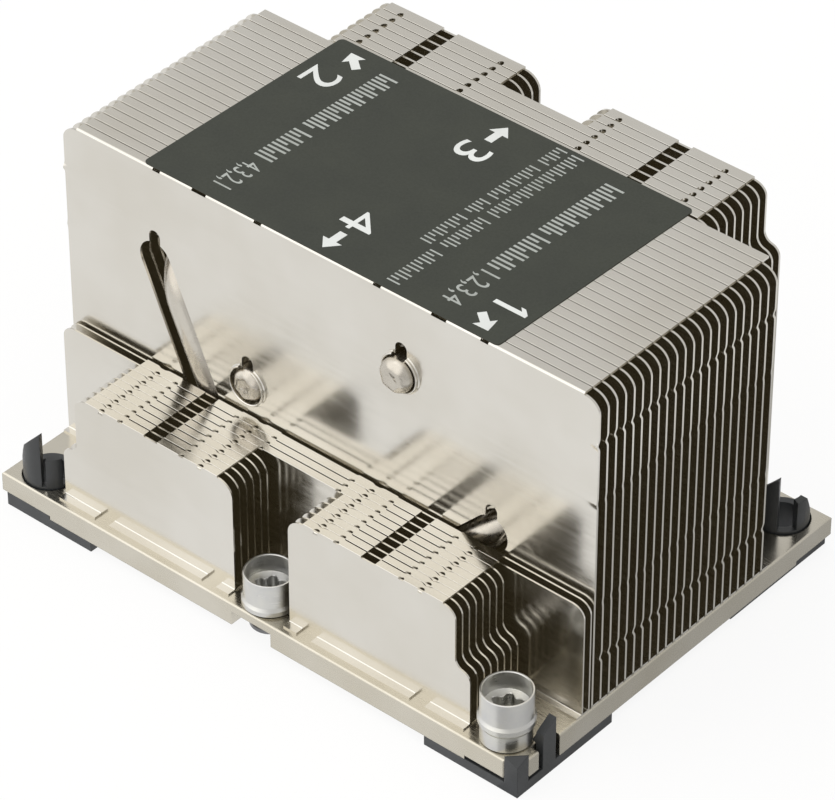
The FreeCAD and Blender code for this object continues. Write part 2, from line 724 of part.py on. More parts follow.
# ---- label ----
def label():
    """Thin sheet with rounded corners on the tall fins' top flanges."""
    sheet = block(-LABEL_HALF_X, LABEL_HALF_X, LABEL_Y[0], LABEL_Y[1], TALL_TOP, TALL_TOP + LABEL_T)
    corners = [edge for edge in sheet.Edges if edge.BoundBox.ZLength > LABEL_T / 2]
    return sheet.makeFillet(LABEL_CORNER_R, corners)


# ---- carrier ----
def ring_sector(x, y, z0, z1, degrees):
    """Upright wall of a prong between two angles."""
    low, high = degrees
    turn = high - low
    outer = Part.makeCylinder(PRONG_R, z1 - z0, Vector(x, y, z0), UP, turn)
    outer.rotate(Vector(x, y, z0), UP, low)
    return outer.cut(rod(x, y, z0 - 1, z1 + 1, PRONG_R - PRONG_WALL))


def prong(x, y, short_deg):
    """Split collar that stands in a corner hole: a tall blade, a short finger and a low rim."""
    rim = rod(x, y, CARRIER_BOTTOM, PRONG_RIM, PRONG_R)
    rim = rim.cut(rod(x, y, CARRIER_BOTTOM - 1, PRONG_RIM + 1, PRONG_R - PRONG_WALL))
    past = PRONG_R + 1
    blade = ring_sector(x, y, PRONG_RIM, PRONG_TALL_TOP, PRONG_TALL_DEG)
    over = [Vector(x + off, y - past, PRONG_TALL_TOP - drop) for off, drop in PRONG_TALL_FALL]
    over += [Vector(x + past, y - past, PRONG_TALL_TOP + 1),
             Vector(x - past, y - past, PRONG_TALL_TOP + 1)]
    blade = blade.cut(polygon(over).extrude(ALONG_Y * past))
    finger = ring_sector(x, y, PRONG_RIM, PRONG_SHORT_TOP, short_deg)
    over = [Vector(x, y + off, PRONG_SHORT_TOP - drop) for off, drop in PRONG_SHORT_FALL]
    over += [Vector(x, y + past, PRONG_RIM), Vector(x, y + past, PRONG_SHORT_TOP + 1),
             Vector(x, y, PRONG_SHORT_TOP + 1)]
    finger = finger.cut(polygon(over).extrude(Vector(past, 0, 0)))
    return joined([rim, blade, finger])


def corner_latch():
    """Latch hook with a nib over the plate's edge, and the post in the cut-off corner."""
    x_in = HALF_X - LATCH_T
    y0, y1 = LATCH_Y
    arm = polygon([
        Vector(x_in, y0, CARRIER_BOTTOM),
        Vector(x_in, y1, CARRIER_BOTTOM),
        Vector(x_in, y1, LATCH_TOP[1]),
        Vector(x_in, y0, LATCH_TOP[0]),
    ]).extrude(Vector(LATCH_T, 0, 0))
    nib_z = BASE_TOP + CARRIER_GAP
    nib = polygon([
        Vector(x_in, y0, nib_z),
        Vector(x_in - LATCH_NIB, y0, nib_z + LATCH_NIB_H / 4),
        Vector(x_in, y0, nib_z + LATCH_NIB_H),
    ]).extrude(ALONG_Y * (y1 - y0))
    corner = Vector(HALF_X, -HALF_Y, CARRIER_BOTTOM)
    post = polygon([corner, corner - Vector(POST_LEG, 0, 0), corner + ALONG_Y * POST_LEG])
    post = post.extrude(UP * (POST_TOP + POST_RISE - CARRIER_BOTTOM))
    diagonal = Vector(1, -1, 0).normalize()
    height = POST_LEG * math.sqrt(0.5)
    high = corner - diagonal * height + UP * (POST_TOP + POST_RISE - CARRIER_BOTTOM)
    low = corner + UP * (POST_TOP - CARRIER_BOTTOM)
    across = Vector(1, 1, 0).normalize() * POST_LEG
    lid = polygon([high - across, low - across, low - across + UP * POST_RISE])
    post = post.cut(lid.extrude(across * 2))
    return joined([arm, nib]), post


def carrier():
    """Moulded frame under the plate with its window, corner arms, prongs, latches and posts."""
    bottom = CARRIER_BOTTOM
    pad_x = HALF_X - CORNER_PAD_X + CARRIER_GAP
    pad_y = HALF_Y - CORNER_PAD_Y + CARRIER_GAP
    arms = [
        block(-CARRIER_FRAME_X, CARRIER_FRAME_X, -CARRIER_FRAME_Y, CARRIER_FRAME_Y, bottom,
              BASE_UNDERSIDE),
        block(1 - HALF_X, CARRIER_LUG_IN - HALF_X, -HALF_Y, -CARRIER_FRAME_Y, bottom, BASE_UNDERSIDE),
        block(1 - HALF_X, -pad_x, -HALF_Y, -pad_y, BASE_UNDERSIDE, CORNER_UNDERSIDE),
        block(CARRIER_FRAME_X - 1, HALF_X - 1, CARRIER_LUG_Y, HALF_Y, bottom, BASE_UNDERSIDE),
        block(pad_x, HALF_X - 1, pad_y, HALF_Y, BASE_UNDERSIDE, CORNER_UNDERSIDE),
    ]
    for turn in (1, -1):
        arms += [half_turned(piece, turn) for piece in (
            block(HALF_X - CARRIER_ARM_IN, HALF_X, -HALF_Y, -CARRIER_FRAME_Y, bottom, BASE_UNDERSIDE),
            block(CARRIER_FRAME_X - 1, HALF_X, -HALF_Y, -CARRIER_ARM_Y, bottom, BASE_UNDERSIDE),
            *corner_latch(),
        )]
    frame = joined(arms)
    holes = [block(-WINDOW_X, WINDOW_X, -WINDOW_Y, WINDOW_Y, bottom - 1, 1)]
    for x, y, drum in NUTS.values():
        holes.append(rod(x, y, bottom - 1, CORNER_UNDERSIDE + 1, CARRIER_HOLE_R))
    for x, y, short_deg in PRONG_CORNERS:
        holes.append(rod(x, y, bottom - 1, CORNER_UNDERSIDE + 1, PRONG_R - PRONG_WALL / 2))
    frame = frame.cut(holes)
    return joined([frame] + [prong(*corner) for corner in PRONG_CORNERS])


def main():
    """Build every piece and write it."""
    os.makedirs("parts", exist_ok=True)
    write("base_plate", base_plate())
    for name in PIPES:
        write(name, heat_pipe(name))
    upper_runs = list(PIPES)
    tall_cuts = fin_cuts(upper_runs, TALL_FIRST_Y - 1, FAR_FIRST_Y, True)
    for index in range(TALL_COUNT):
        write("tall_fin_%02d" % (index + 1), tall_fin(index, tall_cuts))
    to_the_end = [name for name in PIPES if PIPES[name][4] == UPPER_END_Y]
    far_end = HALF_Y + 1
    bend_end = BACK_LEG_Y + PIPE_R + SLOT_MARGIN
    far_cuts = fin_cuts(to_the_end, FAR_FIRST_Y - 1, far_end, False)
    far_cuts += [base_leg_cut(name, FAR_FIRST_Y - 1, bend_end) for name in PIPES]
    for index in range(FAR_COUNT):
        fins = far_fin(index, far_cuts)
        write("far_fin_row_%d" % (index + 1), Part.makeCompound(fins) if fins[1:] else fins[0])
    for index in range(LOW_COUNT):
        fins = low_fin(index, [])
        write("low_fin_row_%02d" % (index + 1), Part.makeCompound(fins) if fins[1:] else fins[0])
    for number, (x, y, drum) in NUTS.items():
        write("captive_nut_%d" % number, captive_nut(x, y, drum))
        write("retaining_ring_%d" % number, retaining_ring(x, y))
    write("top_label", label())
    write("processor_carrier", carrier())


main()
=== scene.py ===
import logging
import math
from dataclasses import dataclass, field, replace
from enum import Enum
from typing import ClassVar, Dict, List, Optional, Sequence, Tuple, Union

import bmesh
import bpy
import numpy as np
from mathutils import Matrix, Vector
from mathutils.geometry import delaunay_2d_cdt


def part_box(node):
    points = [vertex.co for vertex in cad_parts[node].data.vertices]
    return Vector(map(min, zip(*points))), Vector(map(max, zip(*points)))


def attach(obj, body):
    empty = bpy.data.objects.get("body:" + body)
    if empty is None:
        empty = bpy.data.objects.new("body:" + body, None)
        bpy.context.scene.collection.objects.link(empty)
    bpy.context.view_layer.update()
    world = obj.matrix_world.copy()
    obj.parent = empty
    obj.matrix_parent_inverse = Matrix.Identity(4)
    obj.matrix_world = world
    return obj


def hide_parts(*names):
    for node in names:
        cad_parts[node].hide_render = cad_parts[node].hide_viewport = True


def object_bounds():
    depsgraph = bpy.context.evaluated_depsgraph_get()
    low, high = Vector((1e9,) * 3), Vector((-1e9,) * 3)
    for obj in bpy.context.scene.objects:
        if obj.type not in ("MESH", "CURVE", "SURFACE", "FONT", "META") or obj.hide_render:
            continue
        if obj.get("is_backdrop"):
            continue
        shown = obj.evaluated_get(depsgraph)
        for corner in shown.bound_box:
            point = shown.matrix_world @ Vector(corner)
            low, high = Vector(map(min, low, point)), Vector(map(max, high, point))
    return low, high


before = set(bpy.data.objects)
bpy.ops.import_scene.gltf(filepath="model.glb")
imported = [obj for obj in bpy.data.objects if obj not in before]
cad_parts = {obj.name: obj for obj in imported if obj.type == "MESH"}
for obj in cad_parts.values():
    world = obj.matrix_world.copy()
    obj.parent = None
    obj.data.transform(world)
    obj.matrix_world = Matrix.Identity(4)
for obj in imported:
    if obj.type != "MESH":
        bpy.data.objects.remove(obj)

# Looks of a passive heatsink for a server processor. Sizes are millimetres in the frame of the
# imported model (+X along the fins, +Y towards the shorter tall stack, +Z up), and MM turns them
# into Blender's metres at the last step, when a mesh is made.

MM = 0.001
BODY = "sink"
LOG = logging.getLogger("heatsink")

# Steps of the arcs: a whole hole, a sheet's corner, a small arc, and a bend of thin sheet.
HOLE_STEPS = 36
CORNER_STEPS = 8
SMALL_STEPS = 6
BEND_POINTS = 5

Array = np.ndarray
Point = Tuple[float, float]
Span = Tuple[float, float]
Place = Tuple[float, float, float]
Settings = Dict[Union[str, int], object]
Figure = Tuple[Array, List[List[int]]]
Socket = bpy.types.NodeSocket


# ---------------------------------------------------------------- colours and shader nodes
def linear(hex_colour: str, alpha: float = 1.0) -> Tuple[float, float, float, float]:
    """Turn an sRGB hex colour into Blender's linear values.

    Each channel c is c / 12.92 below 0.04045 and ((c + 0.055) / 1.055) to the power 2.4 above it.

    Args:
        hex_colour: six hex digits, with or without a hash sign.
        alpha: opacity, passed on unchanged.

    Returns:
        Red, green, blue and alpha.
    """
    digits = hex_colour.lstrip("#")
    channels = np.array([int(digits[i:i + 2], 16) / 255 for i in (0, 2, 4)])
    values = np.where(channels <= 0.04045, channels / 12.92, ((channels + 0.055) / 1.055) ** 2.4)
    return (*values.tolist(), alpha)


def add_node(tree: bpy.types.NodeTree, kind: str, settings: Optional[Settings] = None,
             links: Optional[Dict[Union[str, int], Socket]] = None) -> bpy.types.Node:
    """Add one shader node.

    Args:
        tree: the node tree that gets it.
        kind: Blender's class name of the node.
        settings: the node's attributes, and its inputs by name or number, with their values.
        links: inputs by name or number, with the output sockets that feed them.

    Returns:
        The new node.
    """
    node = tree.nodes.new(kind)
    values = dict(settings or {})
    for name in [key for key in values if isinstance(key, str) and hasattr(node, key)]:
        setattr(node, name, values.pop(name))
    for name, value in values.items():
        node.inputs[name].default_value = value
    for name, socket in (links or {}).items():
        tree.links.new(socket, node.inputs[name])
    return node


def ranges(source: Span, target: Span) -> Settings:
    """Map Range settings that stretch one range onto another, held at both ends."""
    return {"From Min": source[0], "From Max": source[1], "To Min": target[0],
            "To Max": target[1]}


class Grain(Enum):
    """Direction in which a surface's fine marks run."""

    ALONG_X = (0.06, 1.0, 1.0)
    ALONG_Y = (1.0, 0.06, 1.0)
    ROUND_Z = (0.05, 0.05, 1.0)
    NONE = (1.0, 1.0, 1.0)


@dataclass(frozen=True)
class Finish:
    """What every finish shares: two close colours in soft patches, marks and broken edges.

    Sizes of patches, marks and edges, and the marks' depth, are in millimetres.
    """

    name: str
    colour: str
    patch_colour: str
    roughness: Span
    patch_mm: float
    mark_mm: float
    mark_depth: float
    edge_mm: float = 0.0
    grain: Grain = Grain.NONE
    colour_span: ClassVar[Span] = (0.35, 0.7)
    wear_span: ClassVar[Span] = (0.3, 0.7)
    patch_noise: ClassVar[Settings] = {"Detail": 4.0}
    mark_noise: ClassVar[Settings] = {"Detail": 2.0}

    def wear(self, tree: bpy.types.NodeTree, patches: Socket, marks: Socket) -> Socket:
        """Value that makes the surface rougher: the marks alone."""
        return marks

    def set_shader(self, shader: bpy.types.Node) -> None:
        """Set what this kind of finish adds to the shader: nothing more."""

    def build(self) -> bpy.types.Material:
        """Make the node material.

        Two noises on object coordinates give the patches and the marks. The patches mix the
        colours, the wear sets the roughness and the marks are the relief.

        Returns:
            The material, named for what the surface is.
        """
        material = bpy.data.materials.new(self.name)
        material.use_nodes = True
        tree = material.node_tree
        shader = tree.nodes["Principled BSDF"]
        place = add_node(tree, "ShaderNodeTexCoord").outputs["Object"]
        patches = add_node(tree, "ShaderNodeTexNoise",
                           {"Scale": 1 / (self.patch_mm * MM), **self.patch_noise},
                           {"Vector": place}).outputs["Fac"]
        stretched = add_node(tree, "ShaderNodeMapping", {"Scale": self.grain.value},
                             {"Vector": place}).outputs["Vector"]
        marks = add_node(tree, "ShaderNodeTexNoise",
                         {"Scale": 1 / (self.mark_mm * MM), **self.mark_noise},
                         {"Vector": stretched}).outputs["Fac"]
        share = add_node(tree, "ShaderNodeMapRange", ranges(self.colour_span, (0, 1)),
                         {"Value": patches}).outputs[0]
        mixed = add_node(tree, "ShaderNodeMix",
                         {"data_type": "RGBA", 6: linear(self.colour),
                          7: linear(self.patch_colour)}, {0: share}).outputs[2]
        rough = add_node(tree, "ShaderNodeMapRange", ranges(self.wear_span, self.roughness),
                         {"Value": self.wear(tree, patches, marks)}).outputs[0]
        relief = {"Height": marks}
        if self.edge_mm > 0:
            relief["Normal"] = add_node(tree, "ShaderNodeBevel",
                                        {"samples": 4, "Radius": self.edge_mm * MM}).outputs[0]
        normal = add_node(tree, "ShaderNodeBump",
                          {"Strength": 1.0, "Distance": self.mark_depth * MM}, relief).outputs[0]
        for socket, name in ((mixed, "Base Color"), (rough, "Roughness"), (normal, "Normal")):
            tree.links.new(socket, shader.inputs[name])
        self.set_shader(shader)
        return material


@dataclass(frozen=True)
class PlatedMetal(Finish):
    """Metal with a thin plated skin: soft mirror, faint cloudy patches and fine marks.

    The patches come from uneven plating, a few millimetres to a few tens of millimetres across.
    The marks come from the rolled sheet or the cutter under the skin. A faint olive glow is
    painted
    over the whole surface: it stands in for the light that a narrow gap between two sheets keeps
    after very many reflections.
    """

    # Painted glow: faint emitted light over the whole surface, standing in for light bounced in
    # narrow gaps.
    painted_bounce_glow: str = "#000000"
    wear_span: ClassVar[Span] = (0.12, 0.4)
    patch_noise: ClassVar[Settings] = {"Detail": 3.0, "Roughness": 0.55}
    mark_noise: ClassVar[Settings] = {"Detail": 2.0, "Roughness": 0.6}

    def wear(self, tree: bpy.types.NodeTree, patches: Socket, marks: Socket) -> Socket:
        """Value that makes the surface rougher: the patches times the marks."""
        return add_node(tree, "ShaderNodeMath", {"operation": "MULTIPLY"},
                        {0: patches, 1: marks}).outputs[0]

    def set_shader(self, shader: bpy.types.Node) -> None:
        """Make the surface metal, with a faint painted glow that stands in for light bounced
        between the sheets.
        """
        shader.inputs["Metallic"].default_value = 1.0
        shader.inputs["Emission Color"].default_value = linear(self.painted_bounce_glow)
        shader.inputs["Emission Strength"].default_value = 1.0


@dataclass(frozen=True)
class MouldedPlastic(Finish):
    """Moulded or printed plastic: a matt skin with a pale bloom and fine grit on it."""

    specular: float = 0.5

    def set_shader(self, shader: bpy.types.Node) -> None:
        """Set how strongly the skin mirrors."""
        shader.inputs["Specular IOR Level"].default_value = self.specular


# ---------------------------------------------------------------- pieces and meshes
def finish_piece(piece: bpy.types.Object, material: bpy.types.Material,
                 node: Optional[str] = None, body: str = BODY) -> None:
    """Give a piece its material and its place in the model.

    Args:
        piece: the finished mesh object.
        material: its finish.
        node: the solid that the piece stands for, if it stands for one.
        body: the body that it rides on.
    """
    piece.data.materials.append(material)
    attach(piece, body)
    if node is not None:
        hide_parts(node)
    LOG.info("%s: %d faces", piece.name, len(piece.data.polygons))


def dress(node: str, material: bpy.types.Material) -> None:
    """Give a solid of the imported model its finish.

    Args:
        node: the solid's name.
        material: its finish.
    """
    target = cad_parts[node]
    target.data.materials.clear()
    target.data.materials.append(material)
    LOG.info("%s: keeps its solid", node)


def arc(centre: Point, radii: Span, degrees: Span, steps: int) -> Array:
    """Points on an ellipse's arc: centre + (rx cos a, rz sin a), with a going evenly.

    Args:
        centre: the ellipse's middle.
        radii: half its width and half its height.
        degrees: first and last angle.
        steps: number of equal steps between them.

    Returns:
        One row per point, steps + 1 rows.
    """
    angle = np.radians(np.linspace(degrees[0], degrees[1], steps + 1))
    return np.column_stack([centre[0] + radii[0] * np.cos(angle),
                            centre[1] + radii[1] * np.sin(angle)])


def sections(x: Array, y: Array, z: Array) -> Array:
    """Places by section points by three, from coordinates that spread to places by points."""
    return np.stack(np.broadcast_arrays(x, y, z), axis=-1)


def grid_faces(rows: int, columns: int) -> Array:
    """Quads between neighbouring rows of a grid whose rows are closed rings.

    Args:
        rows: how many rows of points there are.
        columns: how many points each row holds.

    Returns:
        One row of four point numbers per quad.
    """
    row, column = np.meshgrid(np.arange(rows - 1), np.arange(columns), indexing="ij")
    after = (column + 1) % columns
    corners = [row * columns + column, row * columns + after,
               (row + 1) * columns + after, (row + 1) * columns + column]
    return np.stack(corners, axis=-1).reshape(-1, 4)


@dataclass
class Shell:
    """Points and faces that are gathered into one mesh."""

    points: List[Array] = field(default_factory=list)
    faces: List[List[int]] = field(default_factory=list)
    count: int = 0

    def add(self, points: Array, faces: Sequence[Sequence[int]]) -> None:
        """Take in more points and faces.

        Args:
            points: one row of three coordinates per point.
            faces: point numbers of each face, counted from the first of these points.
        """
        self.faces += [[int(i) + self.count for i in face] for face in faces]
        self.points.append(np.asarray(points, dtype=float))
        self.count += len(points)

    def swept(self, loops: Array) -> None:
        """Take in a closed section carried through several places, with both ends closed.

        Args:
            loops: array of places by section points by three.
        """
        places, size, _ = loops.shape
        faces = grid_faces(places, size).tolist()
        faces.append(list(range(size))[::-1])
        faces.append([(places - 1) * size + i for i in range(size)])
        self.add(loops.reshape(-1, 3), faces)

    def make(self, name: str, sharp_degrees: float = 32.0) -> bpy.types.Object:
        """Make the mesh object at the origin, with its faces pointing outwards.

        Args:
            name: the object's name.
            sharp_degrees: turn between two faces from which their edge is a crease.

        Returns:
            The object, in the scene.
        """
        mesh = bpy.data.meshes.new(name)
        mesh.from_pydata((np.concatenate(self.points) * MM).tolist(), [], self.faces)
        mesh.validate()
        build = bmesh.new()
        build.from_mesh(mesh)
        bmesh.ops.recalc_face_normals(build, faces=build.faces)
        build.to_mesh(mesh)
        build.free()
        mesh.polygons.foreach_set("use_smooth", [True] * len(mesh.polygons))
        mesh.set_sharp_from_angle(angle=math.radians(sharp_degrees))
        made = bpy.data.objects.new(name, mesh)
        bpy.context.collection.objects.link(made)
        return made


def anticlockwise(curve: Array) -> Array:
    """The same closed curve, run so that twice its area, the sum of cross products, is positive.

    Args:
        curve: flat points of a closed curve.

    Returns:
        The points in the same or in the opposite order.
    """
    after = np.roll(curve, -1, axis=0)
    area = np.sum(curve[:, 0] * after[:, 1] - after[:, 0] * curve[:, 1])
    return curve if area > 0 else curve[::-1]


def cut_sheet(outlines: Sequence[Array], holes: Sequence[Array],
              extra: Optional[Array] = None) -> Tuple[Array, Array, Array]:
    """Triangles of flat sheet that lie inside an outline and in no hole.

    A constrained triangulation keeps every outline and hole edge, and each triangle is kept by
    which of the closed curves it lies in.

    Args:
        outlines: closed curves that bound the sheet.
        holes: closed curves that are cut out. They may cross each other and the outlines.
        extra: further points that the triangles should use.

    Returns:
        Flat points, triangles that run anticlockwise, and the edges on the sheet's border.
    """
    curves = [anticlockwise(np.asarray(curve)) for curve in (*outlines, *holes)]
    starts = np.cumsum([0] + [len(curve) for curve in curves])
    rings = [list(range(a, b)) for a, b in zip(starts[:-1], starts[1:])]
    cloud = np.concatenate(curves + ([extra] if extra is not None else []))
    merge_distance = 1e-5
    points, _, faces, _, _, inside = delaunay_2d_cdt(
        [Vector(p) for p in cloud.tolist()], [], rings, 0, merge_distance)
    solid = set(range(len(outlines)))
    kept = [face for face, owners in zip(faces, inside)
            if owners and all(owner in solid for owner in owners)]
    flat = np.array([list(p) for p in points])
    triangles = np.array(kept)
    a, b, c = (flat[triangles[:, i]] for i in range(3))
    area = (b[:, 0] - a[:, 0]) * (c[:, 1] - a[:, 1]) - (b[:, 1] - a[:, 1]) * (c[:, 0] - a[:, 0])
    triangles[area < 0] = triangles[area < 0][:, ::-1]
    edges = np.concatenate([triangles[:, [0, 1]], triangles[:, [1, 2]], triangles[:, [2, 0]]])
    _, first, times = np.unique(np.sort(edges, axis=1), axis=0, return_index=True,
                                return_counts=True)
    return flat, triangles, edges[first[times == 1]]


def without(span: Span, gaps: Sequence[Tuple[float, float]]) -> List[Span]:
    """What is left of a stretch once gaps are taken out of it.

    Args:
        span: start and end of the stretch.
        gaps: the centre and width of each gap, in any order.

    Returns:
        Start and end of each part that is left.
    """
    left, start = [], span[0]
    for low, high in sorted((c - w / 2, c + w / 2) for c, w in gaps):
        if high <= start or low >= span[1]:
            continue
        if low > start:
            left.append((start, low))
        start = high
    if start < span[1]:
        left.append((start, span[1]))
    return left


# ---------------------------------------------------------------- fins
@dataclass(frozen=True)
class Pipe:
    """Where one heat pipe runs: its two lengths across the fins and its upright leg."""

    upper: Point
    foot: Point
    leg_y: float
    end_y: float


@dataclass(frozen=True)
class PipeLayout:
    """The four heat pipes and the openings that they need in the fins."""

    radius: float = 3.0
    hole_radius: float = 3.25
    key_width: float = 2.3
    key_top: float = 5.5
    bend: float = 9.0
    slot_flare: float = 0.6
    foot_end: float = 19.0
    slot_margin: float = 0.3
    ring_steps: int = 40
    crown_steps: int = 10
    pipes: Tuple[Pipe, ...] = (
        Pipe((-34.8, 46.5), (-16.0, 4.0), -18.4, 38.4),
        Pipe((-15.8, 31.4), (-3.5, 4.0), 24.5, -22.4),
        Pipe((15.8, 50.0), (3.5, 4.0), 24.5, -23.9),
        Pipe((33.7, 28.2), (10.5, 4.0), -18.4, 38.4),
    )

    def keyhole(self, pipe: Pipe) -> Array:
        """Round hole with a narrow notch over it, as one closed curve.

        The ring is open at the top by the angle whose sine is half the notch over the radius, and
        a half circle as wide as the notch is its crown.

        Args:
            pipe: the pipe that ends at this fin.

        Returns:
            Flat points of the curve.
        """
        x, z = pipe.upper
        half = self.key_width / 2
        open_angle = math.degrees(math.asin(half / self.hole_radius))
        ring = arc((x, z), (self.hole_radius,) * 2, (90 + open_angle, 450 - open_angle),
                   self.ring_steps)
        crown = arc((x, z + self.key_top - half), (half, half), (0, 180), self.crown_steps)
        return np.concatenate([ring, crown])

    def slot(self, pipe: Pipe) -> Array:
        """Leaning slot from the hole to below the fin, wider on its outer side at the foot.

        Args:
            pipe: the pipe whose upright leg passes through the fin.

        Returns:
            The slot's four corners.
        """
        upper, foot = np.array(pipe.upper), np.array(pipe.foot)
        lean = (foot - upper) / np.linalg.norm(foot - upper)
        outward = np.array([-lean[1], lean[0]])
        outward = outward if outward[0] * upper[0] > 0 else -outward
        below = foot + lean * self.radius
        return np.array([upper + outward * self.hole_radius, upper - outward * self.hole_radius,
                         below - outward * self.hole_radius,
                         below + outward * (self.hole_radius + self.slot_flare)])

    def round_at(self, centre: Point) -> Array:
        """Plain round hole as a closed curve."""
        return arc(centre, (self.hole_radius,) * 2, (0, 360), HOLE_STEPS)[:-1]

    def cuts_at(self, y: float) -> List[Array]:
        """Everything that the pipes take out of the fin at one place.

        Args:
            y: the fin's front face.

        Returns:
            Closed curves, which may cross each other.
        """
        cuts = []
        for pipe in self.pipes:
            turn = 1 if pipe.leg_y > 0 else -1
            if (pipe.end_y - y) * turn < 0:
                cuts.append(self.keyhole(pipe))
            inner = abs(pipe.leg_y) - self.bend
            outer = abs(pipe.leg_y) + self.radius + self.slot_margin
            if inner < y * turn < outer:
                cuts += [self.slot(pipe), self.round_at(pipe.upper)]
            if y * turn < outer and -y * turn < self.foot_end + self.radius:
                cuts.append(self.round_at(pipe.foot))
        return cuts


class Fold(Enum):
    """What is folded from a fin's top edge."""

    PLAIN = "plain"
    LOCKED = "locked"
    NONE = "none"


@dataclass(frozen=True)
class FinStyle:
    """Sizes that the fins of one stack share.

    Windows, lock holes and slits stand in pairs about the line that the shift gives. A window is
    a place and a width, and a hole is a width and a depth.
    """

    thickness: float
    pitch: float
    top: float
    corner: float
    window: Span
    lock_hole: Span
    bend: float = 0.06
    shift: float = -0.42
    fold_gap: float = 0.06
    inner_corner: float = 3.1
    dot_hole: Span = (1.0, 0.5)

    @property
    def flange(self) -> float:
        """Width of the folded flange, from the fin's front face."""
        return self.pitch - self.fold_gap


@dataclass(frozen=True)
class FinPlan:
    """Shape of one fin, seen along Y, and what its top edge and flange do."""

    y: float
    foot_x: float
    head_x: float
    step: Span = (0.0, 0.0)
    reach: float = 0.0
    split: bool = False
    fold: Fold = Fold.PLAIN
    cover: float = 0.0
    slit_middle: bool = False


@dataclass(frozen=True)
class Bumps:
    """Marks pressed into a sheet near its two ends, each a height and how far it stands out."""

    places: Tuple[Tuple[float, float], ...] = ()
    end_x: float = 53.8
    long: float = 2.6
    tall: float = 0.6
    margin: float = 1.5
    grid: Tuple[int, int] = (5, 13)

    def push(self, flat: Array) -> Array:
        """How far each point is pressed towards -Y.

        A bump is its depth times the squared share of the way along it, times a bell curve in Z.

        Args:
            flat: points of the sheet.

        Returns:
            One value per point, zero or less.
        """
        x, z = flat[:, 0], flat[:, 1]
        along = np.clip((np.abs(x) - (self.end_x - self.long)) / self.long, 0, 1)
        depth = np.zeros(len(flat))
        for height, out in self.places:
            depth += out * along ** 2 * np.exp(-((z - height) / self.tall) ** 2)
        return -depth

    def points(self) -> Optional[Array]:
        """Grid of extra sheet points where the bumps are.

        Returns:
            Flat points at both ends of the sheet, or nothing without bumps.
        """
        if not self.places:
            return None
        x = np.linspace(self.end_x - self.long, self.end_x, self.grid[0])
        z = np.concatenate([np.linspace(height - self.margin, height + self.margin, self.grid[1])
                            for height, _ in self.places])
        across, upward = np.meshgrid(x, z)
        right = np.column_stack([across.ravel(), upward.ravel()])
        return np.concatenate([right, right * np.array([-1, 1])])


@dataclass(frozen=True)
class LugShape:
    """Curved lip that reaches over the flange before it. Its drops are below the fin's top."""

    width: float = 2.6
    out: float = 0.38
    least: float = 0.005
    half_share: float = 0.46
    points: int = 9
    start_drop: float = 0.8
    nose_drop: float = 0.16
    crown_drop: float = 0.02
    root_drop: float = 0.3
    root_depth: float = 0.15
    crown_share: float = 0.3

    def curve(self, off: Array) -> Array:
        """Squared cosine over a lug's width, 1 in its middle and 0 from its ends outwards."""
        return np.cos(np.clip(off / self.width, -0.5, 0.5) * np.pi) ** 2

    def loops(self, centre: float, y: float, top: float, fold_gap: float) -> Array:
        """A five-cornered wedge carried along X, whose reach follows the lug curve.

        Args:
            centre: the lug's middle in X.
            y: the fin's front face.
            top: the fin's top.
            fold_gap: gap between the fin and the flange before it.

        Returns:
            Places by section points by three.
        """
        off = np.linspace(-self.half_share, self.half_share, self.points) * self.width
        out = np.maximum(self.curve(off) * self.out - fold_gap, self.least)
        here = np.full(len(off), y)
        root = here + self.root_depth
        nose = y - out
        across = np.stack([here, nose, nose + out * self.crown_share, root, root], axis=1)
        upward = top - np.array([self.start_drop, self.nose_drop, self.crown_drop,
                                 self.crown_drop, self.root_drop])
        return sections((centre + off)[:, None], across, upward)


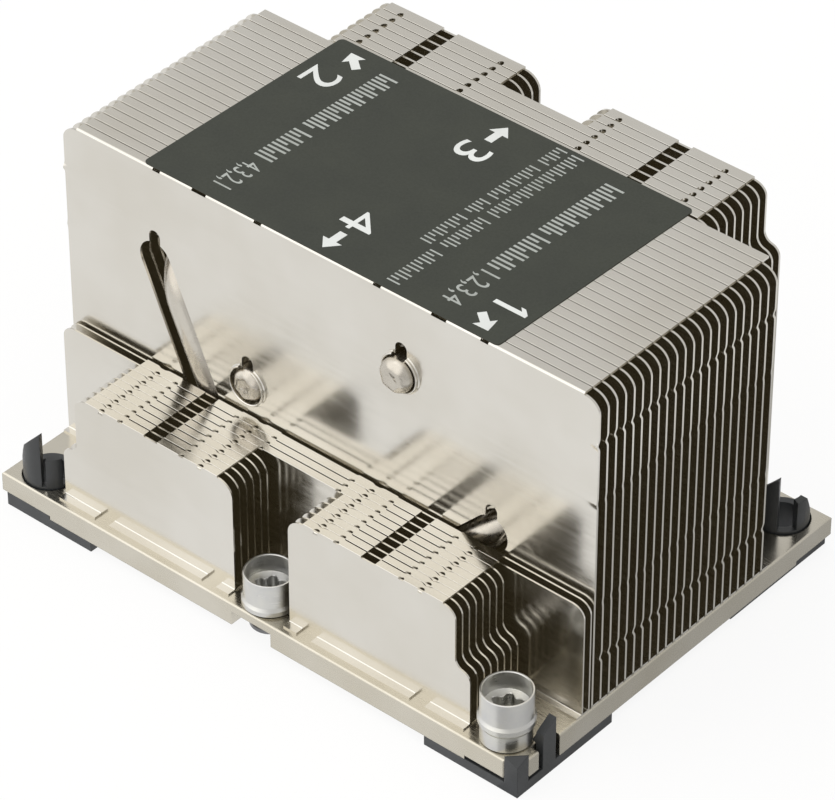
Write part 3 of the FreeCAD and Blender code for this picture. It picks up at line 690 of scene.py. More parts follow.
@dataclass
class FinMaker:
    """Builds one folded sheet fin, part by part, into its shell."""

    style: FinStyle
    plan: FinPlan
    pipes: PipeLayout
    bumps: Bumps = Bumps()
    lug: LugShape = LugShape()
    base_top: float = 4.5
    tool_half: float = 5.75
    bare_drop: float = 0.05
    lock_x: Tuple[float, ...] = (12.0, 32.95)
    slit_x: Span = (16.0, 29.0)
    slit_past_tool: float = 2.3
    slit_width: float = 0.2
    slit_ramp: float = 1e-3
    hole_side: float = 0.25
    hole_points: int = 11
    level_step: float = 0.04
    foot_breaks: Tuple[float, ...] = (9.95, 33.0)
    foot_break_width: float = 3.0
    foot_bend: float = 0.5
    shell: Shell = field(default_factory=Shell)

    @property
    def middle_slit(self) -> float:
        """Half the length of the slit across the middle, past the tool slot's width."""
        return self.tool_half + self.slit_past_tool

    def side(self, top_edge: float) -> Array:
        """Right-hand border from the foot to the top, for a fin's outer end.

        The step is two equal arcs that meet halfway and leave each end upright.

        Args:
            top_edge: where the flat sheet ends.

        Returns:
            Flat points, from the foot upwards.
        """
        style, plan = self.style, self.plan
        points = [np.array([[plan.foot_x, self.base_top]])]
        if plan.foot_x > plan.head_x:
            high, low = plan.step
            across, down = plan.foot_x - plan.head_x, high - low
            radius = (across ** 2 + down ** 2) / (4 * across)
            turn = math.degrees(math.asin(down / 2 / radius))
            points.append(arc((plan.foot_x - radius, low), (radius,) * 2, (0, turn),
                              SMALL_STEPS))
            points.append(arc((plan.head_x + radius, high), (radius,) * 2,
                              (180 + turn, 180), SMALL_STEPS)[1:])
        drop = style.corner - (style.top - top_edge)
        points.append(arc((plan.head_x - style.corner, style.top - style.corner),
                          (style.corner, drop), (0, 90), CORNER_STEPS))
        return np.concatenate(points)

    def inner_side(self, top_edge: float) -> Array:
        """Border beside the tool slot, from the top down to the foot.

        Args:
            top_edge: where the flat sheet ends.

        Returns:
            Flat points: a quarter of an ellipse and the foot's corner.
        """
        style = self.style
        size = style.inner_corner
        corner = arc((self.tool_half + size, style.top - size),
                     (size, size - (style.top - top_edge)), (90, 180), CORNER_STEPS)
        return np.concatenate([corner, [[self.tool_half, self.base_top]]])

    def outlines(self) -> List[Array]:
        """Closed borders of the flat part of the fin.

        Returns:
            One curve, or two where the fin is split by the tool slot.
        """
        clear = self.bare_drop if self.plan.fold is Fold.NONE else 0.0
        top_edge = self.style.top - self.style.thickness - clear
        right = self.side(top_edge)
        flip = np.array([-1, 1])
        if not self.plan.split:
            return [np.concatenate([right, (right * flip)[::-1]])]
        half = np.concatenate([right, self.inner_side(top_edge)])
        return [half, (half * flip)[::-1]]

    def flat_part(self) -> None:
        """Sheet between its two faces: the same triangles twice, with a wall round them."""
        y = self.plan.y
        flat, triangles, border = cut_sheet(self.outlines(), self.pipes.cuts_at(y),
                                            self.bumps.points())
        front = np.column_stack([flat[:, 0], y + self.bumps.push(flat), flat[:, 1]])
        back = front + [0, self.style.thickness, 0]
        n = len(flat)
        wall = np.column_stack([border[:, 1], border[:, 0], border[:, 0] + n, border[:, 1] + n])
        self.shell.add(np.concatenate([front, back]),
                       triangles.tolist() + (triangles[:, ::-1] + n).tolist() + wall.tolist())

    def slit_ends(self) -> List[float]:
        """Where the slits along a locked flange end, on one side of the middle."""
        middle = [self.middle_slit] if self.plan.slit_middle else []
        return [*self.slit_x, *middle] if self.plan.fold is Fold.LOCKED else []

    def free_edge(self, x: Array) -> Array:
        """Y of the flange's free edge at each X.

        A locked flange stands back by the slit's width over a slit, and under a lug by the lug's
        reach times the lug curve.

        Args:
            x: places along the flange.

        Returns:
            One value per place.
        """
        plan = self.plan
        inset = np.zeros(len(x))
        if plan.fold is Fold.LOCKED:
            off = np.abs(x - self.style.shift)
            for centre in self.lock_x:
                inset = np.maximum(inset, self.lug.curve(off - centre) * self.lug.out)
            in_slit = (off > self.slit_x[0]) & (off < self.slit_x[1])
            if plan.slit_middle:
                in_slit |= off < self.middle_slit
            inset = np.where(in_slit, np.maximum(inset, self.slit_width), inset)
        return plan.y + self.style.flange + plan.cover - inset

    def stations(self, span: Span) -> Array:
        """Places along a flange where its free edge changes.

        Args:
            span: start and end of the stretch.

        Returns:
            X values in rising order, with both ends of the stretch.
        """
        marks = [span[0], span[1]]
        shift = self.style.shift
        if self.plan.fold is Fold.LOCKED:
            fan = np.linspace(-0.5, 0.5, self.lug.points) * self.lug.width
            marks += [shift + sign * (c + f) for c in self.lock_x for f in fan
                      for sign in (-1, 1)]
            marks += [shift + sign * (m + nudge) for m in self.slit_ends()
                      for nudge in (-self.slit_ramp, self.slit_ramp) for sign in (-1, 1)]
        return np.unique(np.clip(np.round(marks, 4), *span))

    def holes(self) -> List[Place]:
        """Centre, width and depth of each hole that is punched just behind the top bend.

        Returns:
            Lock holes and the dots at the slits' ends, on both sides of the middle.
        """
        if self.plan.fold is Fold.NONE:
            return []
        style = self.style
        kinds = [(self.lock_x, style.lock_hole), (self.slit_ends(), style.dot_hole)]
        return [(style.shift + sign * x, *size) for places, size in kinds for x in places
                for sign in (-1, 1)]

    def bridge(self, hole: Place) -> None:
        """What is left of the flange behind a punched hole.

        The hole's rear edge is half an ellipse on short straight sides.

        Args:
            hole: the hole's centre, width and depth.
        """
        style = self.style
        centre, width, depth = hole
        turn = np.radians(np.linspace(180, 0, self.hole_points))
        x = centre + width / 2 * np.cos(turn)
        near = self.plan.y + depth * (self.hole_side + (1 - self.hole_side) * np.sin(turn))
        free = self.free_edge(x)
        under = style.top - style.thickness
        self.shell.swept(sections(x[:, None], np.stack([near, free, free, near], axis=1),
                                  np.array([style.top, style.top, under, under])))

    def top_fold(self, span: Span) -> None:
        """Sharp bend and flange over one stretch.

        The section's outer side is a quarter arc of the bend radius and then level, and its inner
        side is a square corner set in by the thickness.

        Args:
            span: start and end of the stretch.
        """
        style, y = self.style, self.plan.y
        x = self.stations(span)
        turn = np.radians(np.linspace(0, 90, BEND_POINTS))
        under = style.top - style.thickness
        bend_y = [*(y + style.bend * (1 - np.cos(turn))), y + style.bend + self.level_step]
        bend_z = [*(style.top - style.bend * (1 - np.sin(turn))), style.top]
        fixed = np.broadcast_to(np.array(bend_y), (len(x), len(bend_y)))
        free = np.repeat(self.free_edge(x)[:, None], 2, axis=1)
        inside = np.broadcast_to([y + style.thickness, y], (len(x), 2))
        self.shell.swept(sections(x[:, None], np.hstack([fixed, free, inside]),
                                  np.array([*bend_z, style.top, under, under, under])))

    def whole_top(self) -> None:
        """Every stretch of folded flange, and the bridges behind its holes."""
        if self.plan.fold is Fold.NONE:
            return
        for span in self.flange_spans():
            self.top_fold(span)
        for hole in self.holes():
            self.bridge(hole)

    def foot(self, spans: Sequence[Span], width: float) -> None:
        """Foot bent out through a quarter turn and laid on the plate.

        Its outer side is a quarter arc of the foot's bend radius, and its inner side one that is
        smaller by the sheet's thickness.

        Args:
            spans: the stretches of X that have a foot.
            width: how far it reaches, towards +Y where it is above zero.
        """
        t, y = self.style.thickness, self.plan.y
        way = 1 if width > 0 else -1
        start = y + (t if way < 0 else 0)
        outer = self.foot_bend
        inner = outer - t
        turn = np.radians(np.linspace(0, 90, BEND_POINTS))
        middle_z = self.base_top + outer
        low = np.column_stack([start + way * outer * (1 - np.cos(turn)),
                               middle_z - outer * np.sin(turn)])
        high = np.column_stack([start + way * (outer - inner * np.cos(turn)),
                                middle_z - inner * np.sin(turn)])[::-1]
        free_y = y + width
        section = np.concatenate([low, [[free_y, self.base_top], [free_y, self.base_top + t]],
                                  high])
        for span in spans:
            self.shell.swept(sections(np.array(span)[:, None], section[:, 0], section[:, 1]))

    def lips(self) -> None:
        """Every lug of one locked fin."""
        style = self.style
        for centre in self.lock_x:
            for side in (1, -1):
                self.shell.swept(self.lug.loops(style.shift + side * centre, self.plan.y,
                                                style.top, style.fold_gap))

    def flange_spans(self) -> List[Span]:
        """Stretches of the top edge that are folded.

        Returns:
            What the windows, the holes and the tool slot leave of the fin's reach.
        """
        centre, width = self.style.window
        gaps = [(self.style.shift + side * centre, width) for side in (-1, 1)]
        gaps += [(x, wide) for x, wide, _ in self.holes()]
        if self.plan.split:
            gaps.append((0.0, 2 * (self.tool_half + self.style.inner_corner)))
        return without((-self.plan.reach, self.plan.reach), gaps)


@dataclass
class FinStacks:
    """The tall stack, the shorter stack beyond it and the low stack in front."""

    metal: bpy.types.Material
    pipes: PipeLayout
    tall: FinStyle = FinStyle(thickness=0.4, pitch=2.0, top=64.0, corner=2.9, window=(24.1, 2.9),
                              lock_hole=(1.5, 0.8), shift=-1.0, fold_gap=0.2)
    far: FinStyle = FinStyle(thickness=0.4, pitch=2.0, top=64.0, corner=2.5, window=(23.85, 2.9),
                             lock_hole=(1.05, 0.95), fold_gap=0.2)
    low: FinStyle = FinStyle(thickness=0.3, pitch=1.58, top=26.0, corner=2.4,
                             window=(22.45, 2.85), lock_hole=(1.1, 0.6))
    tall_count: int = 22
    far_count: int = 8
    low_count: int = 10
    first_bend: float = 0.4
    tall_half_x: float = 53.8
    far_x: Span = (42.4, 39.3)
    low_x: Span = (42.3, 39.3)
    far_step: Span = (55.1, 51.4)
    low_step: Span = (16.3, 12.7)
    far_split_from: int = 4
    low_split_to: int = 6
    low_short_to: int = 8
    far_shift: float = 0.4
    front_foot: float = 1.5
    foot_start_x: float = 16.0
    bumps: Tuple[Tuple[float, float], ...] = ((13.5, 0.42), (24.5, 0.14), (44.5, 0.14),
                                              (55.5, 0.42))

    def front_y(self, node: str, reach: float) -> float:
        """A fin's front face, worked out from its solid's rear limit."""
        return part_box(node)[1].y / MM - reach

    def build_fin(self, node: str, maker: FinMaker, feet: Sequence[Span],
                  foot_width: float) -> None:
        """Make one fin: its flat part, its folded top, its lugs and its feet.

        Args:
            node: the solid that the fin stands for.
            maker: what builds its parts.
            feet: the stretches of X that have a foot.
            foot_width: how far the feet reach, towards +Y where it is above zero.
        """
        maker.flat_part()
        maker.whole_top()
        if maker.plan.fold is Fold.LOCKED:
            maker.lips()
        maker.foot(feet, foot_width)
        finish_piece(maker.shell.make(node + "_sheet"), self.metal, node)

    def outer_feet(self, half_x: float) -> List[Span]:
        """The two stretches of foot of a fin, from beside the pipes out to its ends."""
        return [(-half_x, -self.foot_start_x), (self.foot_start_x, half_x)]

    def tall_fin(self, index: int) -> None:
        """One long fin. The first has a softer bend, and no bumps where the low stack hides it.

        Args:
            index: its place in the stack, from 0.
        """
        node = "tall_fin_%02d" % (index + 1)
        first = index == 0
        style = replace(self.tall, bend=self.first_bend) if first else self.tall
        places = tuple(b for b in self.bumps if not first or b[0] > self.low.top)
        plan = FinPlan(self.front_y(node, style.flange), self.tall_half_x, self.tall_half_x,
                       reach=self.tall_half_x - style.corner)
        maker = FinMaker(style, plan, self.pipes, Bumps(places, self.tall_half_x))
        self.build_fin(node, maker, self.outer_feet(self.tall_half_x), style.flange)

    def far_fin(self, index: int) -> None:
        """One row of the shorter tall stack. The last has no flange, and the one before covers it.

        Args:
            index: its place in the stack, from 0.
        """
        node = "far_fin_row_%d" % (index + 1)
        style = self.far
        last = index == self.far_count - 1
        reach = self.front_foot if last else style.flange
        plan = FinPlan(self.front_y(node, reach) + self.far_shift, *self.far_x,
                       step=self.far_step, reach=self.far_x[1] - style.corner,
                       split=index >= self.far_split_from,
                       fold=Fold.NONE if last else Fold.PLAIN,
                       cover=style.thickness if index == self.far_count - 2 else 0.0)
        self.build_fin(node, FinMaker(style, plan, self.pipes), self.outer_feet(self.far_x[0]),
                       reach)

    def low_fin(self, index: int) -> None:
        """One row of the low stack: split, short and whole, or long, from the front backwards.

        Args:
            index: its place in the stack, from 0.
        """
        node = "low_fin_row_%02d" % (index + 1)
        style = self.low
        last = index == self.low_count - 1
        ends = (self.tall_half_x,) * 2 if index >= self.low_short_to else self.low_x
        rear = style.thickness if last else style.flange
        plan = FinPlan(self.front_y(node, rear), *ends, step=self.low_step,
                       reach=self.low_x[1] - style.corner, split=index < self.low_split_to,
                       fold=Fold.NONE if last else Fold.LOCKED,
                       cover=style.thickness if index == self.low_count - 2 else 0.0,
                       slit_middle=index >= self.low_split_to)
        maker = FinMaker(style, plan, PipeLayout(pipes=()))
        width = self.front_foot if index == 0 else style.pitch - style.thickness - style.fold_gap
        gaps = [(0.0, 2 * maker.tool_half)]
        gaps += [(sign * x, maker.foot_break_width) for x in maker.foot_breaks for sign in (-1, 1)]
        self.build_fin(node, maker, without((-ends[0], ends[0]), gaps), -width)

    def build(self) -> None:
        """Make every fin."""
        for count, make in ((self.tall_count, self.tall_fin), (self.far_count, self.far_fin),
                            (self.low_count, self.low_fin)):
            for index in range(count):
                make(index)


# ---------------------------------------------------------------- heat pipes
@dataclass(frozen=True)
class Collar:
    """Lip round a pipe's hole, drawn from the sheet: a rounded section, open at the notch."""

    wall: float = 0.35
    height: float = 0.55
    root: float = 0.2
    soft: float = 0.12
    outer_soft: float = 0.1
    fillet_top: float = 0.02
    open_degrees: Span = (113.0, 427.0)
    points: int = 60

    def section(self, inner: float) -> Array:
        """Radius and Y of the section's corners, with Y 0 on the sheet's front face."""
        w, h, s, r = self.wall, self.height, self.soft, self.root
        return np.array([(inner, r), (inner, -h + s), (inner + s, -h),
                         (inner + w - self.outer_soft, -h), (inner + w, -h + s),
                         (inner + w, -self.outer_soft), (inner + w + r, self.fillet_top),
                         (inner + w + r, r)])


@dataclass
class HeatPipes:
    """The four bent pipes with their pinched ends, and the collars drawn from the first fin.

    The tip gives radii by depth from a pipe's end. The pleats are a share of the radius: a cosine
    of six times the angle, deeper where the radius is smaller.
    """

    metal: bpy.types.Material
    fin_metal: bpy.types.Material
    layout: PipeLayout
    collar: Collar = Collar()
    front_y: float = -21.5
    tip: Tuple[Span, ...] = ((0.3, 0.35), (0.12, 0.9), (0.0, 1.45), (0.06, 1.85), (0.35, 2.3),
                             (0.75, 2.7), (1.2, 2.94), (1.7, 3.0))
    ring: int = 48
    bend_points: int = 13
    pleats: int = 6
    pleat_from: float = 2.8
    pleat_most: float = 0.35
    pleat_depth: float = 0.28
    sharp_degrees: float = 50.0

    def centre_line(self, pipe: Pipe) -> Array:
        """Points down the pipe: straight lengths with a round bend at each of two corners.

        A bend of radius R that turns by an angle starts R tan(angle / 2) before its corner.

        Args:
            pipe: where the pipe runs.

        Returns:
            One row of three coordinates per point.
        """
        ux, uz = pipe.upper
        fx, fz = pipe.foot
        way = 1 if pipe.leg_y > 0 else -1
        bend = self.layout.bend
        corners = np.array([(ux, pipe.end_y, uz), (ux, pipe.leg_y, uz), (fx, pipe.leg_y, fz),
                            (fx, -way * self.layout.foot_end, fz)])
        line = [corners[:1]]
        for before, corner, after in zip(corners, corners[1:], corners[2:]):
            u = (corner - before) / np.linalg.norm(corner - before)
            v = (after - corner) / np.linalg.norm(after - corner)
            angle = math.acos(float(u @ v))
            start = corner - u * bend * math.tan(angle / 2)
            inward = v - u * float(u @ v)
            inward /= np.linalg.norm(inward)
            turn = np.linspace(0, angle, self.bend_points)[:, None]
            line.append(start + bend * (u * np.sin(turn) + inward * (1 - np.cos(turn))))
        line.append(corners[-1:])
        return np.concatenate(line)

    def tube(self, pipe: Pipe) -> Shell:
        """Circle swept down the centre line, smaller and pleated towards both ends.

        Args:
            pipe: where the pipe runs.

        Returns:
            The closed tube.
        """
        line = self.centre_line(pipe)
        ends = []
        for end, inner in ((line[0], line[1]), (line[-1], line[-2])):
            along = (inner - end) / np.linalg.norm(inner - end)
            ends.append([(end + along * depth, radius) for depth, radius in self.tip])
        places = np.array([p for p, _ in ends[0]] + list(line[1:-1])
                          + [p for p, _ in ends[1][::-1]])
        radius = np.array([r for _, r in ends[0]] + [self.layout.radius] * (len(line) - 2)
                          + [r for _, r in ends[1][::-1]])
        forward = np.gradient(line, axis=0)
        forward /= np.linalg.norm(forward, axis=1)[:, None]
        tips = len(self.tip)
        forward = np.concatenate([np.repeat(forward[:1], tips, 0), forward[1:-1],
                                  np.repeat(forward[-1:], tips, 0)])
        level = np.cross([0.0, 1.0, 0.0], [pipe.foot[0] - pipe.upper[0], 0,
                                           pipe.foot[1] - pipe.upper[1]])
        level /= np.linalg.norm(level)
        other = np.cross(level, forward)
        angle = np.linspace(0, 2 * np.pi, self.ring, endpoint=False)
        pinch = np.clip(1 - radius / self.pleat_from, 0, self.pleat_most)[:, None]
        pleat = pinch * self.pleat_depth * np.cos(self.pleats * angle)
        spread = (radius[:, None] * (1 + pleat))[:, :, None]
        shell = Shell()
        shell.swept(places[:, None] + spread * (np.cos(angle)[None, :, None] * level
                                                + np.sin(angle)[None, :, None] * other[:, None]))
        return shell

    def lip(self, pipe: Pipe) -> Shell:
        """Collar's section turned about the pipe's hole.

        Args:
            pipe: the pipe that ends in the first fin.

        Returns:
            The collar, from one side of the notch round to the other.
        """
        section = self.collar.section(self.layout.hole_radius)
        angle = np.radians(np.linspace(*self.collar.open_degrees, self.collar.points))[:, None]
        x, z = pipe.upper
        shell = Shell()
        shell.swept(sections(x + section[:, 0] * np.cos(angle), self.front_y + section[:, 1],
                             z + section[:, 0] * np.sin(angle)))
        return shell

    def build(self) -> None:
        """Make every pipe, and a collar for each that ends at the first fin."""
        for letter, pipe in zip("abcd", self.layout.pipes):
            node = "heat_pipe_" + letter
            finish_piece(self.tube(pipe).make(node + "_tube", self.sharp_degrees), self.metal,
                         node)
            if pipe.leg_y > 0:
                finish_piece(self.lip(pipe).make("pipe_collar_" + letter), self.fin_metal)


# ---------------------------------------------------------------- nuts
@dataclass(frozen=True)
class NutShape:
    """A turned captive nut as a stack of rings, each a radius for every angle and a height.

    The small offsets in the rings are the broken edges and fillets that a lathe leaves.
    """

    body: float = 4.2
    collar: float = 4.55
    collar_height: float = 1.6
    head_height: float = 4.5
    shank: float = 2.9
    rim_wall: float = 0.4
    well_depth: float = 3.3
    socket_depth: float = 3.2
    bore: float = 1.65
    tip: float = 2.8
    valley: float = 2.05
    lobes: int = 6
    lobe_power: float = 0.8
    seat: float = 4.6
    bottom: float = 0.2
    groove_radius: float = 2.6
    groove: Span = (0.5, 1.2)
    steps: int = 144

    def star(self) -> Array:
        """Radius of the six-lobed socket by angle.

        It is the mean of tip and valley plus half their difference times the cosine of six times
        the angle, flattened at the tips by a power below one.

        Returns:
            One radius per step.
        """
        wave = np.cos(self.lobes * np.linspace(0, 2 * np.pi, self.steps, endpoint=False))
        shaped = np.sign(wave) * np.abs(wave) ** self.lobe_power
        return (self.tip + self.valley) / 2 + (self.tip - self.valley) / 2 * shaped

    def shank_rings(self) -> List[Tuple[float, float]]:
        """Radius and height of each ring from the bore's lower end to the seat."""
        low, high = self.groove
        return [(self.bore, self.bottom + 0.25), (self.bore + 0.25, self.bottom),
                (self.shank - 0.2, self.bottom), (self.shank, self.bottom + 0.2),
                (self.shank, low), (self.groove_radius, low), (self.groove_radius, high),
                (self.shank, high), (self.shank, self.seat)]

    def drum_rings(self, top: float) -> List[Tuple[float, float]]:
        """Radius and height of each ring of the drum under a corner nut's collar."""
        return [(self.body - 0.15, self.seat), (self.body, self.seat + 0.15),
                (self.body, top - 0.35), (self.body - 0.12, top - 0.3),
                (self.body - 0.12, top)]

    def head_rings(self, collar: float) -> List[Tuple[object, float]]:
        """Rings of the collar, the head, the deep rim and the socket.

        Args:
            collar: height at which the collar starts.

        Returns:
            Radius, or radii by angle, and height of each ring, from the collar over the rim and
            down to the bore.
        """
        head = collar + self.collar_height
        rim = head + self.head_height
        floor = rim - self.well_depth
        deep = floor - self.socket_depth
        well = self.body - self.rim_wall
        star = self.star()
        return [(self.collar - 0.3, collar), (self.collar, collar + 0.3),
                (self.collar, head - 0.5), (self.body + 0.05, head),
                (self.body, head + 0.1), (self.body, rim - 0.18), (self.body - 0.05, rim - 0.05),
                (self.body - 0.16, rim), (well + 0.12, rim), (well, rim - 0.12),
                (well, floor + 0.35), (well - 0.1, floor + 0.1), (well - 0.35, floor),
                (star + 0.12, floor), (star, floor - 0.14), (star * 0.985, deep + 0.3),
                (star * 0.9, deep), (self.bore, deep - 0.05)]

    def shell(self, centre: Point, drum: float) -> Shell:
        """Closed surface through all the rings: (r cos a, r sin a, height) about the nut's axis.

        Args:
            centre: the axis.
            drum: height of the drum under the collar, 0 for none.

        Returns:
            The nut.
        """
        rings = self.shank_rings()
        if drum > 0:
            rings += self.drum_rings(self.seat + drum)
        rings += self.head_rings(self.seat + drum)
        angle = np.linspace(0, 2 * np.pi, self.steps, endpoint=False)
        radius = np.stack([np.broadcast_to(r, (self.steps,)) for r, _ in rings])
        height = np.array([z for _, z in rings])[:, None]
        points = sections(centre[0] + radius * np.cos(angle), centre[1] + radius * np.sin(angle),
                          height)
        last = (len(rings) - 1) * self.steps
        here = np.arange(self.steps)
        after = (here + 1) % self.steps
        closing = np.column_stack([last + here, last + after, after, here])
        made = Shell()
        made.add(points.reshape(-1, 3),
                 np.concatenate([grid_faces(len(rings), self.steps), closing]).tolist())
        return made


@dataclass
class CaptiveNuts:
    """The four nuts and the rings that hold them."""

    metal: bpy.types.Material
    ring_metal: bpy.types.Material
    shape: NutShape = NutShape()
    least_drum: float = 0.5
    sharp_degrees: float = 28.0

    def build(self) -> None:
        """Make each nut on its own body, as tall as its solid."""
        shape = self.shape
        for number in (1, 2, 3, 4):
            node = "captive_nut_%d" % number
            low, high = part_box(node)
            centre = ((low.x + high.x) / 2 / MM, (low.y + high.y) / 2 / MM)
            drum = high.z / MM - shape.seat - shape.collar_height - shape.head_height
            piece = shape.shell(centre, drum if drum > self.least_drum else 0.0).make(
                node + "_turned", self.sharp_degrees)
            finish_piece(piece, self.metal, node, "nut_%d" % number)
            dress("retaining_ring_%d" % number, self.ring_metal)


# ---------------------------------------------------------------- label
@dataclass(frozen=True)
class TickRow:
    """A printed row: runs of plain upright ticks and then, where asked, digits.

    A run is its first Y, its last Y and its number of ticks.
    """

    x: float
    height: float
    stroke: float
    runs: Tuple[Tuple[float, float, int], ...]
    digits: str = ""
    digits_y: Span = (0.0, 0.0)


@dataclass
class Label:
    """Dark film with a white print: large digits with arrows, and small rows of ticks.

    Corners, digits and arrows are places on the film, X first. The arrow head's length and half
    width are shares of the shaft's width, and a short tick is a share of its row's height.
    """

    film: bpy.types.Material
    ink: bpy.types.Material
    fine_ink: bpy.types.Material
    ink_height: float = 0.02
    corner: float = 0.9
    lean: float = 0.02
    middle_y: float = 1.5
    corners: Tuple[Point, ...] = ((-36.85, -21.1), (34.35, -21.1), (35.3, 24.2), (-36.05, 24.2))
    digit_size: float = 8.7
    digit_width: float = 1.26
    digit_rise: float = 1.42
    digits: Tuple[Tuple[str, Point], ...] = (
        ("2", (-31.4, 13.8)), ("3", (-0.45, 13.9)), ("4", (-0.7, -11.05)))
    arrows: Tuple[Tuple[Point, Point], ...] = (
        ((-28.8, 19.0), (-32.5, 22.0)), ((-0.45, 17.6), (-0.45, 22.4)),
        ((-0.8, -14.9), (-0.8, -19.7)), ((27.7, -16.4), (31.4, -19.3)))
    arrow_width: float = 1.45
    arrow_head: Span = (1.55, 1.3)
    one: Tuple[Point, ...] = ((27.2, -13.4), (33.4, -13.4), (33.4, -12.75), (32.2, -11.7),
                              (31.3, -11.7), (32.1, -12.5), (27.2, -12.5))
    short_tick: float = 0.62
    rows: Tuple[TickRow, ...] = (
        TickRow(-23.3, 3.7, 0.45, ((20.4, 2.7, 20), (0.6, -8.2, 10)), "4,3,2,1", (-10.3, -17.9)),
        TickRow(12.9, 2.5, 0.3, ((23.1, 3.4, 24), (1.3, -7.3, 11), (-9.6, -19.2, 12))),
        TickRow(9.7, 2.2, 0.3, ((23.1, 18.8, 6), (16.8, 7.0, 12), (5.2, 1.8, 5),
                                (-0.1, -8.3, 10))),
        TickRow(22.2, 3.7, 0.45, ((20.6, 5.2, 17), (3.4, -6.6, 11)), "1,2,3,4", (-8.2, -17.5)),
    )

    def sheet(self, bottom: float, top: float) -> Shell:
        """Four-cornered film with small round corners: one closed curve carried upwards.

        Args:
            bottom: height of the film's lower face.
            top: height of its upper face.

        Returns:
            The closed film.
        """
        inward = np.array([(1, 1), (-1, 1), (-1, -1), (1, -1)]) * self.corner
        turns = ((180, 270), (270, 360), (0, 90), (90, 180))
        curve = np.concatenate([arc(tuple(c + i), (self.corner,) * 2, t, SMALL_STEPS)
                                for c, i, t in zip(np.array(self.corners), inward, turns)])
        shell = Shell()
        shell.swept(sections(curve[:, 0], curve[:, 1], np.array([[bottom], [top]])))
        return shell

    def leaned(self, flat: Array) -> Array:
        """The same points, with X shifted in proportion to Y, as the print lies on the film."""
        return flat + np.column_stack([(flat[:, 1] - self.middle_y) * self.lean,
                                       np.zeros(len(flat))])

    def figures(self, text: str, size: float) -> Figure:
        """Triangles of digits set about the origin, which read towards -Y and stand to +X.

        Args:
            text: the digits.
            size: size of the built-in type.

        Returns:
            Flat points and the faces between them.
        """
        curve = bpy.data.curves.new("digit", "FONT")
        curve.body = text
        curve.size = size
        curve.align_x = "CENTER"
        curve.align_y = "CENTER"
        holder = bpy.data.objects.new("digit", curve)
        bpy.context.collection.objects.link(holder)
        bpy.context.view_layer.update()
        mesh = bpy.data.meshes.new_from_object(holder)
        points = np.empty(len(mesh.vertices) * 3)
        mesh.vertices.foreach_get("co", points)
        flat = points.reshape(-1, 3)[:, :2]
        faces = [list(p.vertices) for p in mesh.polygons]
        bpy.data.objects.remove(holder)
        flat = flat - (flat.min(axis=0) + flat.max(axis=0)) / 2
        return np.column_stack([flat[:, 1], -flat[:, 0]]), faces

    def arrow(self, tail: Point, tip: Point) -> Array:
        """Shaft and head: seven points about the line from tail to tip.

        Args:
            tail: where the arrow starts.
            tip: where it points.

        Returns:
            The closed outline.
        """
        tail_at, tip_at = np.array(tail), np.array(tip)
        along = (tip_at - tail_at) / np.linalg.norm(tip_at - tail_at)
        side = np.array([-along[1], along[0]])
        head_long, head_half = self.arrow_head
        width = self.arrow_width
        neck = tip_at - along * width * head_long
        return np.array([tail_at + side * width / 2, neck + side * width / 2,
                         neck + side * width * head_half, tip_at,
                         neck - side * width * head_half, neck - side * width / 2,
                         tail_at - side * width / 2])

    def ticks(self, row: TickRow) -> List[Array]:
        """Upright bars of one row. Every third bar is shorter, as on a plain scale.

        Args:
            row: the row's place and runs.

        Returns:
            Four corners for each bar.
        """
        bars = []
        for start, end, count in row.runs:
            for index, y in enumerate(np.linspace(start, end, count)):
                low = row.x - row.height / 2
                high = low + row.height * (self.short_tick if index % 3 == 1 else 1.0)
                half = row.stroke / 2
                bars.append(np.array([(low, y - half), (high, y - half), (high, y + half),
                                      (low, y + half)]))
        return bars

    def print_flat(self, name: str, flats: List[Figure], z: float,
                   ink: bpy.types.Material) -> None:
        """Give every flat figure its ink thickness and make one mesh of them.

        Args:
            name: the piece's name.
            flats: flat points and faces of each figure.
            z: height of the ink's upper face.
            ink: its finish.
        """
        shell = Shell()
        for points, faces in flats:
            n = len(points)
            points = self.leaned(points)
            lower = np.column_stack([points, np.full(n, z - self.ink_height)])
            upper = np.column_stack([points, np.full(n, z)])
            border = {}
            for a, b in [edge for face in faces for edge in zip(face, face[1:] + face[:1])]:
                key = (min(a, b), max(a, b))
                border[key] = None if key in border else (a, b)
            walls = [[a, b, b + n, a + n] for a, b in filter(None, border.values())]
            shell.add(np.concatenate([lower, upper]),
                      [[i + n for i in face] for face in faces]
                      + [face[::-1] for face in faces] + walls)
        finish_piece(shell.make(name), ink)

    def large_print(self) -> List[Figure]:
        """The order digits and their arrows.

        Returns:
            One figure for each digit and arrow. The digit 1 is an outline of its own.
        """
        flats = []
        for text, place in self.digits:
            points, faces = self.figures(text, self.digit_size)
            flats.append((points * [1, self.digit_width] + np.array(place), faces))
        shapes = [self.arrow(tail, tip) for tail, tip in self.arrows] + [np.array(self.one)]
        return flats + [(anticlockwise(shape), [list(range(len(shape)))]) for shape in shapes]

    def small_print(self) -> List[Figure]:
        """The rows of ticks, with their digits stretched to the room that they have.

        Returns:
            One figure for each tick and for each row's digits.
        """
        flats = []
        for row in self.rows:
            flats += [(anticlockwise(bar), [[0, 1, 2, 3]]) for bar in self.ticks(row)]
            if row.digits:
                points, faces = self.figures(row.digits, row.height * self.digit_rise)
                start, end = row.digits_y
                stretch = (start - end) / np.ptp(points[:, 1])
                flats.append((points * [1, stretch] + np.array([row.x, (start + end) / 2]),
                              faces))
        return flats

